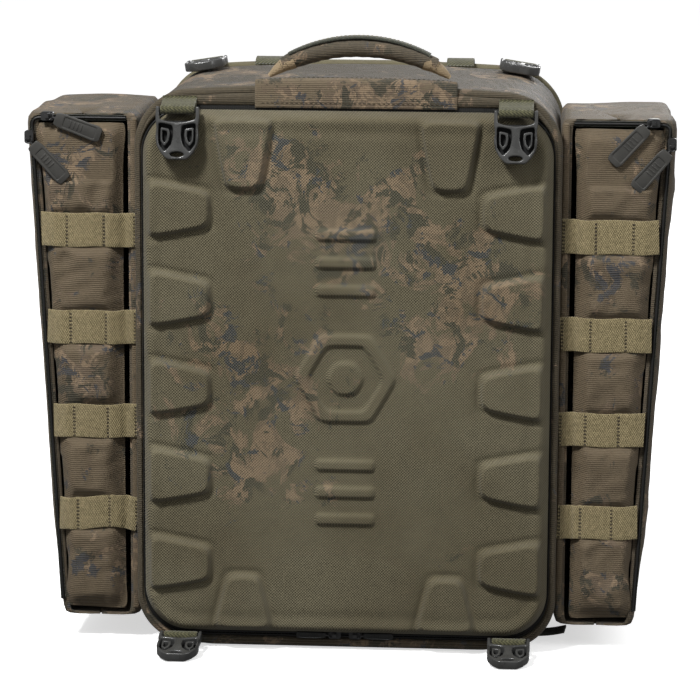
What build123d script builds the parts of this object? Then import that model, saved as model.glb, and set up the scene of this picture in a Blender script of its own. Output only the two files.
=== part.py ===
from build123d import *
import os
from math import atan2, degrees

os.makedirs("parts", exist_ok=True)

# A tackle backpack: a box-shaped bag with a moulded, top-hinged front lid, a zipped pocket on each
# side, six side-release buckle sockets on webbing tabs, a padded carry handle and a back harness.
# Millimetres. X is to the viewer's right, Y to the back, Z up. The origin is the centre of the base
# on the ground. The front of the bag faces -Y.

# ---------------------------------------------------------------- driving dimensions
BODY_W = 364.0          # width of the main bag
BODY_D = 240.0          # depth of the main bag
BODY_H = 486.0          # height of its side seams
HALF_W = BODY_W / 2
FRONT_Y = -BODY_D / 2
BACK_Y = BODY_D / 2
TOP_RISE = 8.0          # how far the top bows up between them
CORNER_R = 45.0         # outline corners seen from the front
WALL = 4.0              # foam-lined fabric wall
FRAME_T = 6.0           # stiffened front frame
BASE_T = 3.0            # moulded base sheet
BASE_INSET = 10.0       # base sheet inside the front and rear faces
DIVIDER_Z = 252.0       # padded shelf in the main compartment
DIVIDER_T = 4.0
CONTACT = 0.3           # gap between pieces that move against each other

OPEN_SIDE = 4.0         # frame left beside the lid opening
OPEN_LOW = 10.0         # underside of the opening
OPEN_HIGH = BODY_H - 10.0   # top of the opening
OPEN_R = 42.0
TAPE_REACH = 9.0        # zip tape reaching in from the opening's edge
TAPE_T = 1.5
TAPE_BACK = 4.5         # tape's back face behind the frame's front face

LID_GAP = 4.5           # visible zip gap at the sides and the top
LID_GAP_LOW = 8.5       # and below, where the sliders park
LID_FLANGE = 2.7
LID_DOME = 13.0         # how far the moulded lid stands proud of the frame
LID_TAPER = 30.0
LID_WALL = 6.0
BLOCK_H = 5.0           # moulded blocks on the lid
BLOCK_TAPER = 25.0
BLOCK_PITCH = 77.4
BLOCKS_PER_SIDE = 5
SIDE_BLOCK = (54.0, 50.0, 30.0)      # reach, outer and inner edge
TOP_BLOCK = (62.0, 52.0, 30.0)
LOW_BLOCK = (50.0, 52.0, 28.0)
END_BLOCK_X = 88.0
EMBLEM_R = 46.0         # plain hexagon in the middle of the lid
BAR_SIZE = (54.0, 13.0)
BAR_PITCH = 24.0
BARS_PER_SIDE = 3

PIPING_R = 2.5
PIPING_GAP = 0.1
PIPING_SETBACK = 3.0    # piping centre behind the front or rear face

WEB_W = 30.0            # webbing of tabs and pocket rows
WEB_T = 1.8
BUCKLE_W = 37.0
BUCKLE_T = 8.0
BUCKLE_LEN = 43.0
BAR_R = 2.0
BAR_RUN = 0.3           # loop clearance round the bar
TAB_X = HALF_W - 39.0   # buckles left and right of the middle
LID_AXIS_F = 16.5       # lid and top buckle axis in front of the frame
LID_AXIS_Z = OPEN_HIGH - 2.0
LOW_TAB_F = 12.0
LOW_TAB_Z = 13.0
REAR_TAB_Y = BACK_Y - 28.0
TOP_HANG = 10.0         # degrees the top buckles lean out over the lid
LOW_HANG = 78.5
REAR_ROLL = 9.0

POCKET_TOP = BODY_H - 22.0
POCKET_LOW = 30.0
POCKET_FRONT = FRONT_Y + 20.0
POCKET_BACK = POCKET_FRONT + 160.0
POCKET_WALL = 3.0
POCKET_REACH_TOP = 95.0     # front face width at the top
POCKET_REACH_LOW = 72.0     # and at the bottom
POCKET_FLARE = 9.0          # the outer side swells past the front face
POCKET_HEM = 8.0            # fixed strip between body and pocket front
FRONT_PAD_T = 7.7
ZIP_W = 5.0
ZIP_T = 3.5
ROWS_Z = (116.0, 198.0, 281.0, 366.0)
ROW_T = 1.8

HANDLE_X = 7.0
HANDLE_Y = FRONT_Y + 45.0
HANDLE_SPAN = 160.0
HANDLE_RISE = 28.0
GRIP_R = 8.0
EAR_W = 16.0            # end tabs of the handle
EAR_T = 4.0
PATCH_W = 172.0
PATCH_T = 1.2
PATCH_BACK = FRONT_Y + 60.0
PATCH_LOW = OPEN_HIGH - 1.5

STRAP_X = 88.0
STRAP_W = 62.0
STRAP_T = 12.0
STRAP_TOP = (BACK_Y + 2.0, BODY_H - 14.0)      # (Y, Z) of the strap's middle line
STRAP_MID = (BACK_Y + 43.0, 330.0)
STRAP_END = (BACK_Y + 21.0, 190.0)
PAD_SIZE = (74.0, 264.0)
PAD_AT = (58.0, 282.0)
LUMBAR_SIZE = (140.0, 84.0)
LUMBAR_Z = 72.0
PAD_T = 12.0
SLIM_WEB = 25.0
STERNUM_Z = 350.0


def save(node, shape):
    """Writes one node as STEP."""
    shape.label = node
    export_step(shape, f"parts/{node}.step")


def both_sides(shape):
    """A shape on the right and its mirror image on the left."""
    return Compound([*shape.solids(), *mirror(shape, about=Plane.YZ).solids()])


def slab(sketch, front, back):
    """A sketch in XZ, extruded between two Y values."""
    return extrude(Plane.XZ.offset(-back) * sketch, amount=back - front)


def strip(profile, width, x=0.0):
    """A profile in YZ, extruded to a width about X."""
    return extrude(Plane.YZ.offset(x - width / 2) * profile, amount=width)


def crown(x, inset=0.0):
    """Height of the bag's top at x, left of the rounded corners."""
    return BODY_H - inset + TOP_RISE * (1 - (x / HALF_W) ** 2)


def body_outline(inset=0.0):
    """The bag's outline from the front: flat base, upright sides, bowed top."""
    half = HALF_W - inset
    low = BASE_T + inset
    high = BODY_H - inset
    edges = [
        Line((-half, low), (half, low)),
        Line((half, low), (half, high)),
        ThreePointArc((half, high), (0, high + TOP_RISE), (-half, high)),
        Line((-half, high), (-half, low)),
    ]
    face = make_face(edges)
    return fillet(face.vertices(), CORNER_R - inset)


def opening_outline(inset=0.0):
    """The lid opening in the front frame."""
    width = BODY_W - 2 * (OPEN_SIDE + inset)
    height = OPEN_HIGH - OPEN_LOW - 2 * inset
    return Pos(0, (OPEN_HIGH + OPEN_LOW) / 2) * RectangleRounded(width, height, OPEN_R - inset)


LID_LOW = OPEN_LOW + LID_GAP_LOW
LID_HIGH = OPEN_HIGH - LID_GAP
LID_HALF = HALF_W - OPEN_SIDE - LID_GAP
LID_MID = (LID_LOW + LID_HIGH) / 2


def lid_outline(inset=0.0):
    size = (2 * (LID_HALF - inset), LID_HIGH - LID_LOW - 2 * inset)
    return Pos(0, LID_MID) * RectangleRounded(*size, OPEN_R - LID_GAP - inset)


# ---------------------------------------------------------------- main bag
def base_panel():
    width = BODY_W - 2 * CORNER_R - 2
    return extrude(RectangleRounded(width, BODY_D - 2 * BASE_INSET, 20), amount=BASE_T)


def main_gusset():
    return slab(body_outline() - body_outline(WALL), FRONT_Y + FRAME_T, BACK_Y - WALL)


def front_frame():
    return slab(body_outline() - opening_outline(), FRONT_Y, FRONT_Y + FRAME_T)


def back_panel():
    return slab(body_outline(), BACK_Y - WALL, BACK_Y)


def frame_sheet():
    """Stiff sheet in a sleeve inside the back panel."""
    sheet = slab(body_outline(WALL + 10), BACK_Y - WALL - 2, BACK_Y - WALL)
    return sheet


def piping(y):
    """Covered cord along an edge of the bag."""
    path = body_outline(-PIPING_R - PIPING_GAP).face().outer_wire()
    path = Plane.XZ.offset(-y) * path
    start = path.position_at(0)
    return sweep(Plane(start, z_dir=path.tangent_at(0)) * Circle(PIPING_R), path=path)


def opening_tape():
    """Zip tape all round the opening, and the part of it that hinges the lid."""
    back = FRONT_Y + TAPE_BACK
    ring = slab(opening_outline() - opening_outline(TAPE_REACH), back - TAPE_T, back)
    top = Pos(0, back, OPEN_HIGH) * Box(BODY_W, 4 * TAPE_T, 2 * OPEN_R)
    return ring - top, ring & top


def inner_divider():
    """Padded shelf held in the main compartment."""
    width = BODY_W - 2 * WALL
    depth = BODY_D - FRAME_T - 2 * WALL - 2
    middle = (FRONT_Y + FRAME_T + BACK_Y - WALL - 2) / 2
    return Pos(0, middle, DIVIDER_Z) * Box(width, depth - 6, DIVIDER_T)


# ---------------------------------------------------------------- lid
def block(sizes):
    """One moulded block, its outer edge on the local X axis, reaching towards +Y."""
    reach, outer, inner = sizes
    edge = make_face(
        Polyline((-outer / 2, 0), (outer / 2, 0), (inner / 2, reach), (-inner / 2, reach), close=True)
    )
    return fillet(edge.vertices().sort_by(Axis.Y)[-2:], 7)


def raised(sketch, base=LID_DOME, height=BLOCK_H, taper=BLOCK_TAPER):
    """A tapered boss on the lid's face."""
    root = Plane.XZ.offset(-(FRONT_Y - base + 2)) * sketch
    return extrude(root, amount=height + 2, taper=taper)


def lid_blocks():
    """Places of the moulded blocks, as located sketches."""
    places = []
    margin = 6.0
    for k in range(BLOCKS_PER_SIDE):
        z = LID_MID - 10 + (k - (BLOCKS_PER_SIDE - 1) / 2) * BLOCK_PITCH
        places.append(Pos(-LID_HALF + margin, z) * Rot(0, 0, -90) * block(SIDE_BLOCK))
        places.append(Pos(LID_HALF - margin, z) * Rot(0, 0, 90) * block(SIDE_BLOCK))
    for x in (-END_BLOCK_X, END_BLOCK_X):
        places.append(Pos(x, LID_HIGH - margin) * Rot(0, 0, 180) * block(TOP_BLOCK))
        places.append(Pos(x, LID_LOW + margin) * block(LOW_BLOCK))
    return places


def lid_emblem():
    """A plain hexagon ridge with bars above and below it."""
    ridge = RegularPolygon(EMBLEM_R, 6) - RegularPolygon(EMBLEM_R - 11, 6)
    shapes = [Pos(0, LID_MID) * ridge, Pos(0, LID_MID) * RegularPolygon(EMBLEM_R * 0.42, 6)]
    for k in range(BARS_PER_SIDE):
        rise = EMBLEM_R + 30 + k * BAR_PITCH
        for z in (LID_MID + rise, LID_MID - rise):
            shapes.append(Pos(0, z) * RectangleRounded(*BAR_SIZE, 5))
    return shapes


def front_panel():
    """Moulded foam lid: flange, dome, blocks and a hollow back."""
    lid = slab(lid_outline(), FRONT_Y, FRONT_Y + LID_FLANGE)
    face = Plane.XZ.offset(-FRONT_Y) * lid_outline()
    lid += extrude(face, amount=LID_DOME, taper=LID_TAPER)
    for sketch in lid_blocks():
        lid += raised(sketch)
    for sketch in lid_emblem():
        lid += raised(sketch, height=2.5)
    hollow = slab(lid_outline(16), FRONT_Y - LID_DOME + LID_WALL, FRONT_Y + LID_FLANGE)
    return lid - hollow


LINER_T = 1.5
LINER_INSET = 6.0


def lid_liner():
    front = FRONT_Y + LID_FLANGE
    return slab(lid_outline(LINER_INSET), front, front + LINER_T)


def lid_mesh_pocket():
    """Flat mesh pocket on the lid's lining."""
    front = FRONT_Y + LID_FLANGE + LINER_T
    return slab(Pos(0, 160) * RectangleRounded(280, 200, 15), front, front + 3)


# ---------------------------------------------------------------- buckles and their tabs
def buckle_socket():
    """Female half of a side-release buckle, hanging from its bar along local -Z."""
    side = BUCKLE_W / 2
    nose = 9.5
    shoulder = 8.5
    points = [
        (-side + 1, -shoulder), (side - 1, -shoulder), (side, -26), (side - 6, -BUCKLE_LEN + 5),
        (nose, -BUCKLE_LEN), (-nose, -BUCKLE_LEN), (-side + 6, -BUCKLE_LEN + 5), (-side, -26),
    ]
    plate = make_face(Polyline(*points, close=True))
    plate = fillet(plate.vertices().sort_by(Axis.Y)[:6], 2.5)
    for x in (-1, 1):
        plate -= Pos(x * 12.6, -21) * Rot(0, 0, x * 8) * Ellipse(2.3, 7)
        plate -= Pos(x * 6.3, -23) * Rot(0, 0, -x * 8) * Ellipse(1.9, 6)
    plate -= Pos(0, -BUCKLE_LEN + 6) * Ellipse(5.5, 1.9)
    body = slab(plate, -BUCKLE_T / 2, BUCKLE_T / 2)
    body -= Pos(0, 0, -BUCKLE_LEN + 10) * Box(21, 3.6, 22)
    arm_t = (BUCKLE_W - WEB_W) / 2 - 0.6
    for x in (-1, 1):
        arm = Box(arm_t, BUCKLE_T * 0.7, shoulder + BAR_R + 2)
        body += Pos(x * (side - arm_t / 2), 0, (BAR_R - shoulder - 2) / 2) * arm
    body += Rot(0, 90, 0) * Cylinder(BAR_R, BUCKLE_W - arm_t)
    return body


def tab(tail):
    """Webbing loop round a bar at the local origin, with a sewn tail through (Y, Z) points."""
    inner = BAR_R + BAR_RUN
    loop = Circle(inner + WEB_T) - Circle(inner)
    start = Vector(*tail[0]).normalized() * (inner + WEB_T / 2)
    band = trace(Polyline((start.X, start.Y), *tail), 1.3 * WEB_T) - Circle(inner)
    return strip(loop + band, WEB_W)


def hung(shape, y, z, hang, roll=0.0):
    """Puts a right-hand buckle or tab at its bar, swung forward by an angle."""
    return Pos(TAB_X, y, z) * Rot(0, roll, 0) * Rot(-hang, 0, 0) * shape


REAR_TAB_Z = crown(TAB_X) + BUCKLE_T / 2 + 0.9
TOP_BAR = (FRONT_Y - LID_AXIS_F, LID_AXIS_Z)
LOW_BAR = (FRONT_Y - LOW_TAB_F, LOW_TAB_Z)
REAR_BAR = (REAR_TAB_Y, REAR_TAB_Z)
REAR_TAIL = BACK_Y - PIPING_SETBACK - PIPING_R - PIPING_GAP - REAR_TAB_Y


def buckles():
    right = {
        "front_top": hung(buckle_socket(), *TOP_BAR, TOP_HANG),
        "front_bottom": hung(buckle_socket(), *LOW_BAR, LOW_HANG),
        "rear_top": hung(buckle_socket(), *REAR_BAR, 90, REAR_ROLL),
    }
    for name, shape in right.items():
        save(f"{name}_right_buckle", shape)
        save(f"{name}_left_buckle", mirror(shape, about=Plane.YZ))


def tabs():
    high = LID_AXIS_F - 0.65 * WEB_T - 0.1
    low = LOW_TAB_F - 0.65 * WEB_T - 0.1
    save("front_top_tabs", both_sides(hung(tab([(high, 5), (high, 9)]), *TOP_BAR, 0)))
    save("front_bottom_tabs", both_sides(hung(tab([(6, -5), (low, -6)]), *LOW_BAR, 0)))
    rear = tab([(REAR_TAIL * 0.5, -3), (REAR_TAIL, -3)])
    save("rear_top_tabs", both_sides(hung(rear, *REAR_BAR, 0, REAR_ROLL)))


# ---------------------------------------------------------------- zip sliders and pulls
SLIDER = (11.0, 5.6, 7.6)       # along the zip, thickness, across it
BRIDGE_H = 4.0
RING_R = 2.6                    # wire ring through the slider's bridge
WIRE_R = 0.6
POCKET_PULL = (14.0, 42.0)      # width and length of the rubber
MAIN_PULL = (6.0, 26.0)
PULL_T = 3.0


def zip_slider():
    """Slider body with its bridge; the zip runs along local X and the bridge faces -Y."""
    body = fillet(Box(*SLIDER).edges().filter_by(Axis.Y), 2)
    middle = -(SLIDER[1] + BRIDGE_H) / 2
    bridge = Pos(0, middle, 0) * Box(3.6, BRIDGE_H, 2.6)
    return body + bridge - Pos(0, middle, 0) * Cylinder(1.15, 10)


def zip_pull(size, lean, ring_lean):
    """Wire ring and rubber tab. The pin is the local origin and both angles run from local -Z
    towards -X: ring_lean is where the ring's middle lies, lean is where the rubber points."""
    width, length = size
    outline = RectangleRounded(width, length, 2.5)
    window = RectangleRounded(width * 0.55, length * 0.6, 1.2)
    rubber = slab(Pos(0, -length / 2) * (outline - window), -PULL_T / 2, PULL_T / 2)
    rubber += slab(Pos(0, -length / 2) * window, -0.9, 0.9)
    rubber += Pos(0, 0, 0.6) * Box(2.6, 2.0, 3.2)
    ring = Rot(90, 0, 0) * Torus(RING_R, WIRE_R)
    lug = ring + Pos(0, 0, -RING_R - 2.2) * rubber
    turned = Rot(0, lean, 0) * lug
    middle = Rot(0, ring_lean, 0) * Pos(0, 0, -RING_R)
    return Pos(middle.position) * turned


# ---------------------------------------------------------------- side pockets
def pocket_plan(reach, inset=0.0):
    """Corner points of a right-hand pocket from above."""
    inner = HALF_W + inset
    outer = HALF_W + reach - inset
    front = POCKET_FRONT + inset
    back = POCKET_BACK - inset
    middle = (POCKET_FRONT + POCKET_BACK) / 2
    return [
        (inner, front), (outer - 6, front), (outer + 1, front + 7),
        (outer + POCKET_FLARE, middle), (outer + POCKET_FLARE / 2, back), (inner, back),
    ]


def pocket_solid(inset=0.0):
    low = Plane.XY.offset(POCKET_LOW + inset) * make_face(
        Polyline(*pocket_plan(POCKET_REACH_LOW, inset), close=True)
    )
    high = Plane.XY.offset(POCKET_TOP - inset) * make_face(
        Polyline(*pocket_plan(POCKET_REACH_TOP, inset), close=True)
    )
    return loft([low.face(), high.face()], ruled=True)


def pocket_face(grow=0.0):
    """Outline of the zipped front of a right-hand pocket, in XZ."""
    inner = HALF_W + POCKET_HEM
    low = POCKET_LOW + 6 - grow
    high = POCKET_TOP - 6 + grow
    points = [
        (inner, low), (HALF_W + POCKET_REACH_LOW - 8 + grow, low),
        (HALF_W + POCKET_REACH_TOP - 8 + grow, high), (inner, high),
    ]
    return make_face(Polyline(*points, close=True))


PAD_BACK = POCKET_FRONT - CONTACT
PAD_FRONT = PAD_BACK - FRONT_PAD_T
FACE_GROW = 2.0


def pocket_shell():
    mouth = slab(pocket_face(), POCKET_FRONT - 1, POCKET_FRONT + POCKET_WALL + 1)
    return pocket_solid() - pocket_solid(POCKET_WALL) - mouth


def pocket_front():
    pad = Plane.XZ.offset(-PAD_BACK) * pocket_face(FACE_GROW)
    return extrude(pad, amount=FRONT_PAD_T, taper=20)


def pocket_zip():
    """Closed zip along the top and the outer side of the pocket front."""
    inner_x = HALF_W + POCKET_HEM
    outside = pocket_face(FACE_GROW + ZIP_W)
    below = Pos(0, POCKET_LOW) * Rectangle(4 * BODY_W, 2 * (6 - FACE_GROW))
    inside = Pos(inner_x, 0) * Rectangle(1, 4 * BODY_H)
    profile = outside - pocket_face(FACE_GROW) - below - inside
    return slab(profile, PAD_BACK - ZIP_T, PAD_BACK)


def row_end(z):
    """Right-hand end of a webbing row at height z."""
    share = (z - POCKET_LOW) / (POCKET_TOP - POCKET_LOW)
    return HALF_W + POCKET_REACH_LOW + share * (POCKET_REACH_TOP - POCKET_REACH_LOW) - 10


def pocket_rows():
    """Webbing rows stitched on the pocket front."""
    inner = HALF_W + POCKET_HEM + 3
    rows = []
    for z in ROWS_Z:
        width = row_end(z) - inner
        plate = Pos(inner + width / 2, z) * Rectangle(width, WEB_W)
        rows.append(slab(plate, PAD_FRONT - ROW_T, PAD_FRONT))
    return Compound([row.solid() for row in rows])


SLIDER_Y = PAD_BACK - ZIP_T - CONTACT - SLIDER[1] / 2
PIN_Y = SLIDER_Y - (SLIDER[1] + BRIDGE_H) / 2
ACROSS_X = HALF_W + POCKET_REACH_TOP - 18
ACROSS_Z = POCKET_TOP - 6 + FACE_GROW + SLIDER[2] / 2 + 0.3
DOWN_X = HALF_W + POCKET_REACH_TOP - 8 + FACE_GROW + SLIDER[2] / 2 + 0.3
DOWN_Z = POCKET_TOP - 18
PULL_LEAN = {"right": (43.0, 41.0), "left": (70.0, 43.0)}


def pocket_sliders(side):
    """Both sliders of one pocket, parked at the top outer corner, with their pulls."""
    lean = PULL_LEAN[side]
    return {
        "top_slider": Pos(ACROSS_X, SLIDER_Y, ACROSS_Z) * zip_slider(),
        "side_slider": Pos(DOWN_X, SLIDER_Y, DOWN_Z) * Rot(0, 90, 0) * zip_slider(),
        "top_pull": Pos(ACROSS_X, PIN_Y, ACROSS_Z) * zip_pull(POCKET_PULL, lean[0], 90),
        "side_pull": Pos(DOWN_X, PIN_Y, DOWN_Z) * zip_pull(POCKET_PULL, lean[1], 0),
    }


def side_pockets():
    webbing = pocket_rows()
    plain = {
        "pocket_shell": pocket_shell(), "pocket_front": pocket_front(),
        "pocket_zip": pocket_zip(), "pocket_webbing": webbing,
    }
    for side in ("right", "left"):
        pieces = {**plain, **pocket_sliders(side)}
        for name, shape in pieces.items():
            placed = shape if side == "right" else mirror(shape, about=Plane.YZ)
            save(f"{side}_{name}", placed)


# ---------------------------------------------------------------- main zip sliders
MAIN_SLIDER_X = 9.0
MAIN_SLIDER_Z = OPEN_LOW + LID_GAP_LOW / 2
MAIN_SLIDER_Y = FRONT_Y + TAPE_BACK - TAPE_T - CONTACT - SLIDER[1] / 2
MAIN_PIN_Y = MAIN_SLIDER_Y - (SLIDER[1] + BRIDGE_H) / 2


def main_sliders():
    """Two sliders that meet at the middle below the lid, their pulls laid along the gap."""
    slider = Pos(MAIN_SLIDER_X, MAIN_SLIDER_Y, MAIN_SLIDER_Z) * zip_slider()
    pull = Pos(MAIN_SLIDER_X, MAIN_PIN_Y, MAIN_SLIDER_Z) * zip_pull(MAIN_PULL, -90, -90)
    save("main_right_slider", slider)
    save("main_left_slider", mirror(slider, about=Plane.YZ))
    save("main_right_pull", pull)
    save("main_left_pull", mirror(pull, about=Plane.YZ))


# ---------------------------------------------------------------- carry handle
HANDLE_FOOT = crown(HANDLE_SPAN / 2 - EAR_W - HANDLE_X) + PATCH_T
HANDLE_AXIS_Z = HANDLE_FOOT + CONTACT + EAR_T / 2


def handle_arc(rise=0.0, shrink=0.0):
    half = HANDLE_SPAN / 2 - 14 - shrink
    ends = HANDLE_AXIS_Z + 11 + rise
    top = HANDLE_FOOT + HANDLE_RISE + rise
    arc = ThreePointArc((HANDLE_X - half, ends), (HANDLE_X, top), (HANDLE_X + half, ends))
    return Plane.XZ.offset(-HANDLE_Y) * arc


def tube(path, section):
    start = Plane(path.position_at(0), x_dir=(0, 1, 0), z_dir=path.tangent_at(0))
    return sweep(start * section, path=path)


def handle():
    grip = tube(handle_arc(), Circle(GRIP_R))
    spine = tube(handle_arc(rise=GRIP_R + 1.2, shrink=4), RectangleRounded(12, 4, 1.5))
    half = HANDLE_SPAN / 2
    low = HANDLE_AXIS_Z
    high = HANDLE_AXIS_Z + 11
    foot = make_face(
        Polyline((half - EAR_W, low), (half, low), (half - 4, low + 5), (half - EAR_W + 1, high + 3),
                 (half - EAR_W - 8, high - 6), close=True)
    )
    ear = slab(foot, HANDLE_Y - EAR_T / 2, HANDLE_Y + EAR_T / 2)
    hem = Rot(0, 90, 0) * Cylinder(EAR_T / 2, EAR_W)
    ear += Pos(half - EAR_W / 2, HANDLE_Y, low) * hem
    ears = Compound([(Pos(HANDLE_X, 0, 0) * ear).solid(),
                     (Pos(HANDLE_X, 0, 0) * mirror(ear, about=Plane.YZ)).solid()])
    save("handle_grip", grip - ears)
    save("handle_spine", spine - grip)
    save("handle_ends", ears)


def handle_patch():
    """Sewn patch that wraps the front top edge under the handle."""
    over = 2 * (PIPING_R + PIPING_GAP)
    behind = FRONT_Y + PIPING_SETBACK + PIPING_R + PIPING_GAP
    front = FRONT_Y - CONTACT / 2
    outer = body_outline(-over - PATCH_T)
    patch = slab(body_outline(-PATCH_T) - body_outline(), behind, PATCH_BACK)
    patch += slab(outer - body_outline(-over), front - PATCH_T, behind + PATCH_T)
    patch += slab(outer, front - PATCH_T, front)
    patch += slab(outer - body_outline(), behind, behind + PATCH_T)
    keep = Pos(HANDLE_X, 0, PATCH_LOW + 50) * Box(PATCH_W, 2 * BODY_D, 100)
    return patch & keep


# ---------------------------------------------------------------- back harness
def back_pads():
    pad = Pos(*PAD_AT) * RectangleRounded(*PAD_SIZE, 22)
    return both_sides(slab(pad, BACK_Y, BACK_Y + PAD_T))


def lumbar_pad():
    pad = Pos(0, LUMBAR_Z) * RectangleRounded(*LUMBAR_SIZE, 22)
    return slab(pad, BACK_Y, BACK_Y + PAD_T)


BAG_SPACE = Pos(0, 0, BODY_H / 2) * Box(4 * BODY_W, BODY_D, 2 * BODY_H)


STRAP_ARC = ThreePointArc(STRAP_TOP, STRAP_MID, STRAP_END)
LOCK_T = 7.0
LOCK_H = 10.0


def shoulder_strap():
    return strip(trace(STRAP_ARC, STRAP_T), STRAP_W, STRAP_X) - BAG_SPACE


def below_strap(distance):
    """Point that far past the strap's lower end, in its direction."""
    return STRAP_ARC @ 1 + STRAP_ARC % 1 * distance


def ladder_locks():
    """Strap adjusters on the lower ends of the shoulder straps."""
    way = STRAP_ARC % 1
    middle = below_strap(LOCK_H / 2)
    turn = degrees(atan2(way.Y, way.X))
    profile = Pos(middle.X, middle.Y) * Rot(0, 0, turn) * Rectangle(LOCK_H, LOCK_T)
    return both_sides(strip(profile, SLIM_WEB + 8, STRAP_X))


def lower_webbing():
    """Adjuster webbing from the shoulder strap to the bottom of the back."""
    top = below_strap(LOCK_H)
    low_y = BACK_Y + WEB_T / 2
    path = Polyline((top.X, top.Y), (BACK_Y + 8, 60), (low_y, 40), (low_y, 30))
    web = both_sides(strip(trace(path, WEB_T), SLIM_WEB, STRAP_X))
    return Compound((web - ladder_locks()).solids())


def load_lifters():
    """Short webbing arches from the top of the bag to the shoulder straps."""
    start = (BACK_Y - 18, crown(STRAP_X - SLIM_WEB / 2) + WEB_T / 2 + 0.4)
    over = (BACK_Y, crown(STRAP_X) + 2 * PIPING_R + 5)
    end = (STRAP_TOP[0] + 19, STRAP_TOP[1] - 14)
    return both_sides(strip(trace(ThreePointArc(start, over, end), WEB_T), SLIM_WEB, STRAP_X))


def grab_loop():
    """Webbing hang loop at the top of the back."""
    low = crown(0) - 18
    path = ThreePointArc((BACK_Y - 1, low), (BACK_Y + 17, low - 8), (BACK_Y - 1, low - 16))
    return strip(trace(path, WEB_T), 70) - BAG_SPACE


def strap_back(z):
    """Rear face of the shoulder strap at height z, along its arc."""
    nearest = min((STRAP_ARC @ (k / 200) for k in range(201)), key=lambda p: abs(p.Y - z))
    return nearest.X + STRAP_T / 2


def sternum_strap():
    """Chest strap across the shoulder straps, with its closed buckle."""
    y = strap_back(STERNUM_Z) + 3
    inner = 21.0
    outer = STRAP_X + 10
    web = Pos((inner + outer) / 2, y, STERNUM_Z) * Box(outer - inner, WEB_T, 20)
    save("right_sternum_webbing", web)
    save("left_sternum_webbing", mirror(web, about=Plane.YZ))
    catch = Pos(-inner / 2 + 2, y, STERNUM_Z) * Box(inner + 4, 8, 27)
    catch -= Pos(0, y, STERNUM_Z) * Box(22, 3.6, 20)
    prong = Pos(6, y, STERNUM_Z) * Box(20, 3, 17) + Pos(16.5, y, STERNUM_Z) * Box(7.5, 6, 26)
    save("sternum_catch", catch)
    save("sternum_prong", prong)


# ---------------------------------------------------------------- write every node
def main():
    zip_tape, hinge_tape = opening_tape()
    strap = shoulder_strap()
    nodes = {
        "base_panel": base_panel(),
        "main_gusset": main_gusset(),
        "front_frame": front_frame(),
        "back_panel": back_panel(),
        "frame_sheet": frame_sheet(),
        "front_piping": piping(FRONT_Y + PIPING_SETBACK),
        "rear_piping": piping(BACK_Y - PIPING_SETBACK),
        "main_zip_tape": zip_tape,
        "lid_hinge_tape": hinge_tape,
        "inner_divider": inner_divider(),
        "front_panel": front_panel(),
        "lid_liner": lid_liner(),
        "lid_mesh_pocket": lid_mesh_pocket(),
        "handle_patch": handle_patch(),
        "back_pads": back_pads(),
        "lumbar_pad": lumbar_pad(),
        "right_shoulder_strap": strap,
        "left_shoulder_strap": mirror(strap, about=Plane.YZ),
        "lower_webbing": lower_webbing(),
        "ladder_locks": ladder_locks(),
        "load_lifters": load_lifters(),
        "grab_loop": grab_loop(),
    }
    for node, shape in nodes.items():
        save(node, shape)
    buckles()
    tabs()
    side_pockets()
    main_sliders()
    handle()
    sternum_strap()


main()
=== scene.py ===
import math
import bmesh
import bpy
import numpy as np
from mathutils import Matrix, Vector


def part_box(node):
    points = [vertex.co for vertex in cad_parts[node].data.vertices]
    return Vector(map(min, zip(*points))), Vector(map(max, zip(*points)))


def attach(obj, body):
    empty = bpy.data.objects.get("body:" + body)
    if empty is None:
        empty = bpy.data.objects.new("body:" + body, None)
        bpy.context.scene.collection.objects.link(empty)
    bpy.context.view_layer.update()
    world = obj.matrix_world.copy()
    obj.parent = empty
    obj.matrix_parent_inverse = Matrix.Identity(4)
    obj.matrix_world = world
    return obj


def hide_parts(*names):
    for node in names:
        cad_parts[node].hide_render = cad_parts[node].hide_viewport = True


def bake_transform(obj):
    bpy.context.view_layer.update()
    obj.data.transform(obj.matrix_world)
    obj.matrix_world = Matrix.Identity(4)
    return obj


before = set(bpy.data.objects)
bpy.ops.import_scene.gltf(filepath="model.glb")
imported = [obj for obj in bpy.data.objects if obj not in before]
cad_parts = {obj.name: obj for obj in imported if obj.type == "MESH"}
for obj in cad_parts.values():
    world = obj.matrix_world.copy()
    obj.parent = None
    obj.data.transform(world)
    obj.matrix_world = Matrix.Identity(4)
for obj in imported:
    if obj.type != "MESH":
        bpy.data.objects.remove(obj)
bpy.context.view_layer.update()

# Lengths in this script are millimetres, and MM turns them into metres. X right, Y back, Z up.
MM = 0.001
BODY_W, BODY_D, BODY_H = 364.0, 240.0, 486.0
BODY_LOW, RISE, CORNER = 3, 8.0, 45.0      # underside, bow of the top, corner radius
HALF = BODY_W / 2
FRONT, BACK = -BODY_D / 2, BODY_D / 2
OPEN = (178.0, 10.0, 476.0, 42.0)          # half width, low, high, corner radius
LID = (175.2, 15.5, 472.6, 39.0)
LID_MID = (LID[1] + LID[2]) / 2
GUSSET_Y = (-114, 116)                     # front and rear edge of the side walls
ROWS_Z = (116.0, 198.0, 281.0, 366.0)      # webbing rows on the pockets
TAB_X = 143.0                              # buckles and their webbing tabs
STRAP_X, STRAP_W, STRAP_T = 88, 25, 1.6    # harness straps: place, width, thickness
CHEST_Z = 350
SIDES = (("right", 1), ("left", -1))


# ---------------------------------------------------------------- materials
def srgb(r, g, b):
    """An 8-bit colour as linear RGBA."""
    return tuple((v / 255 / 12.92) if v < 11 else ((v / 255 + 0.055) / 1.055) ** 2.4
                 for v in (r, g, b)) + (1.0,)


def shaded(colour, share):
    return tuple(c * share for c in colour[:3]) + (1,)


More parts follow.
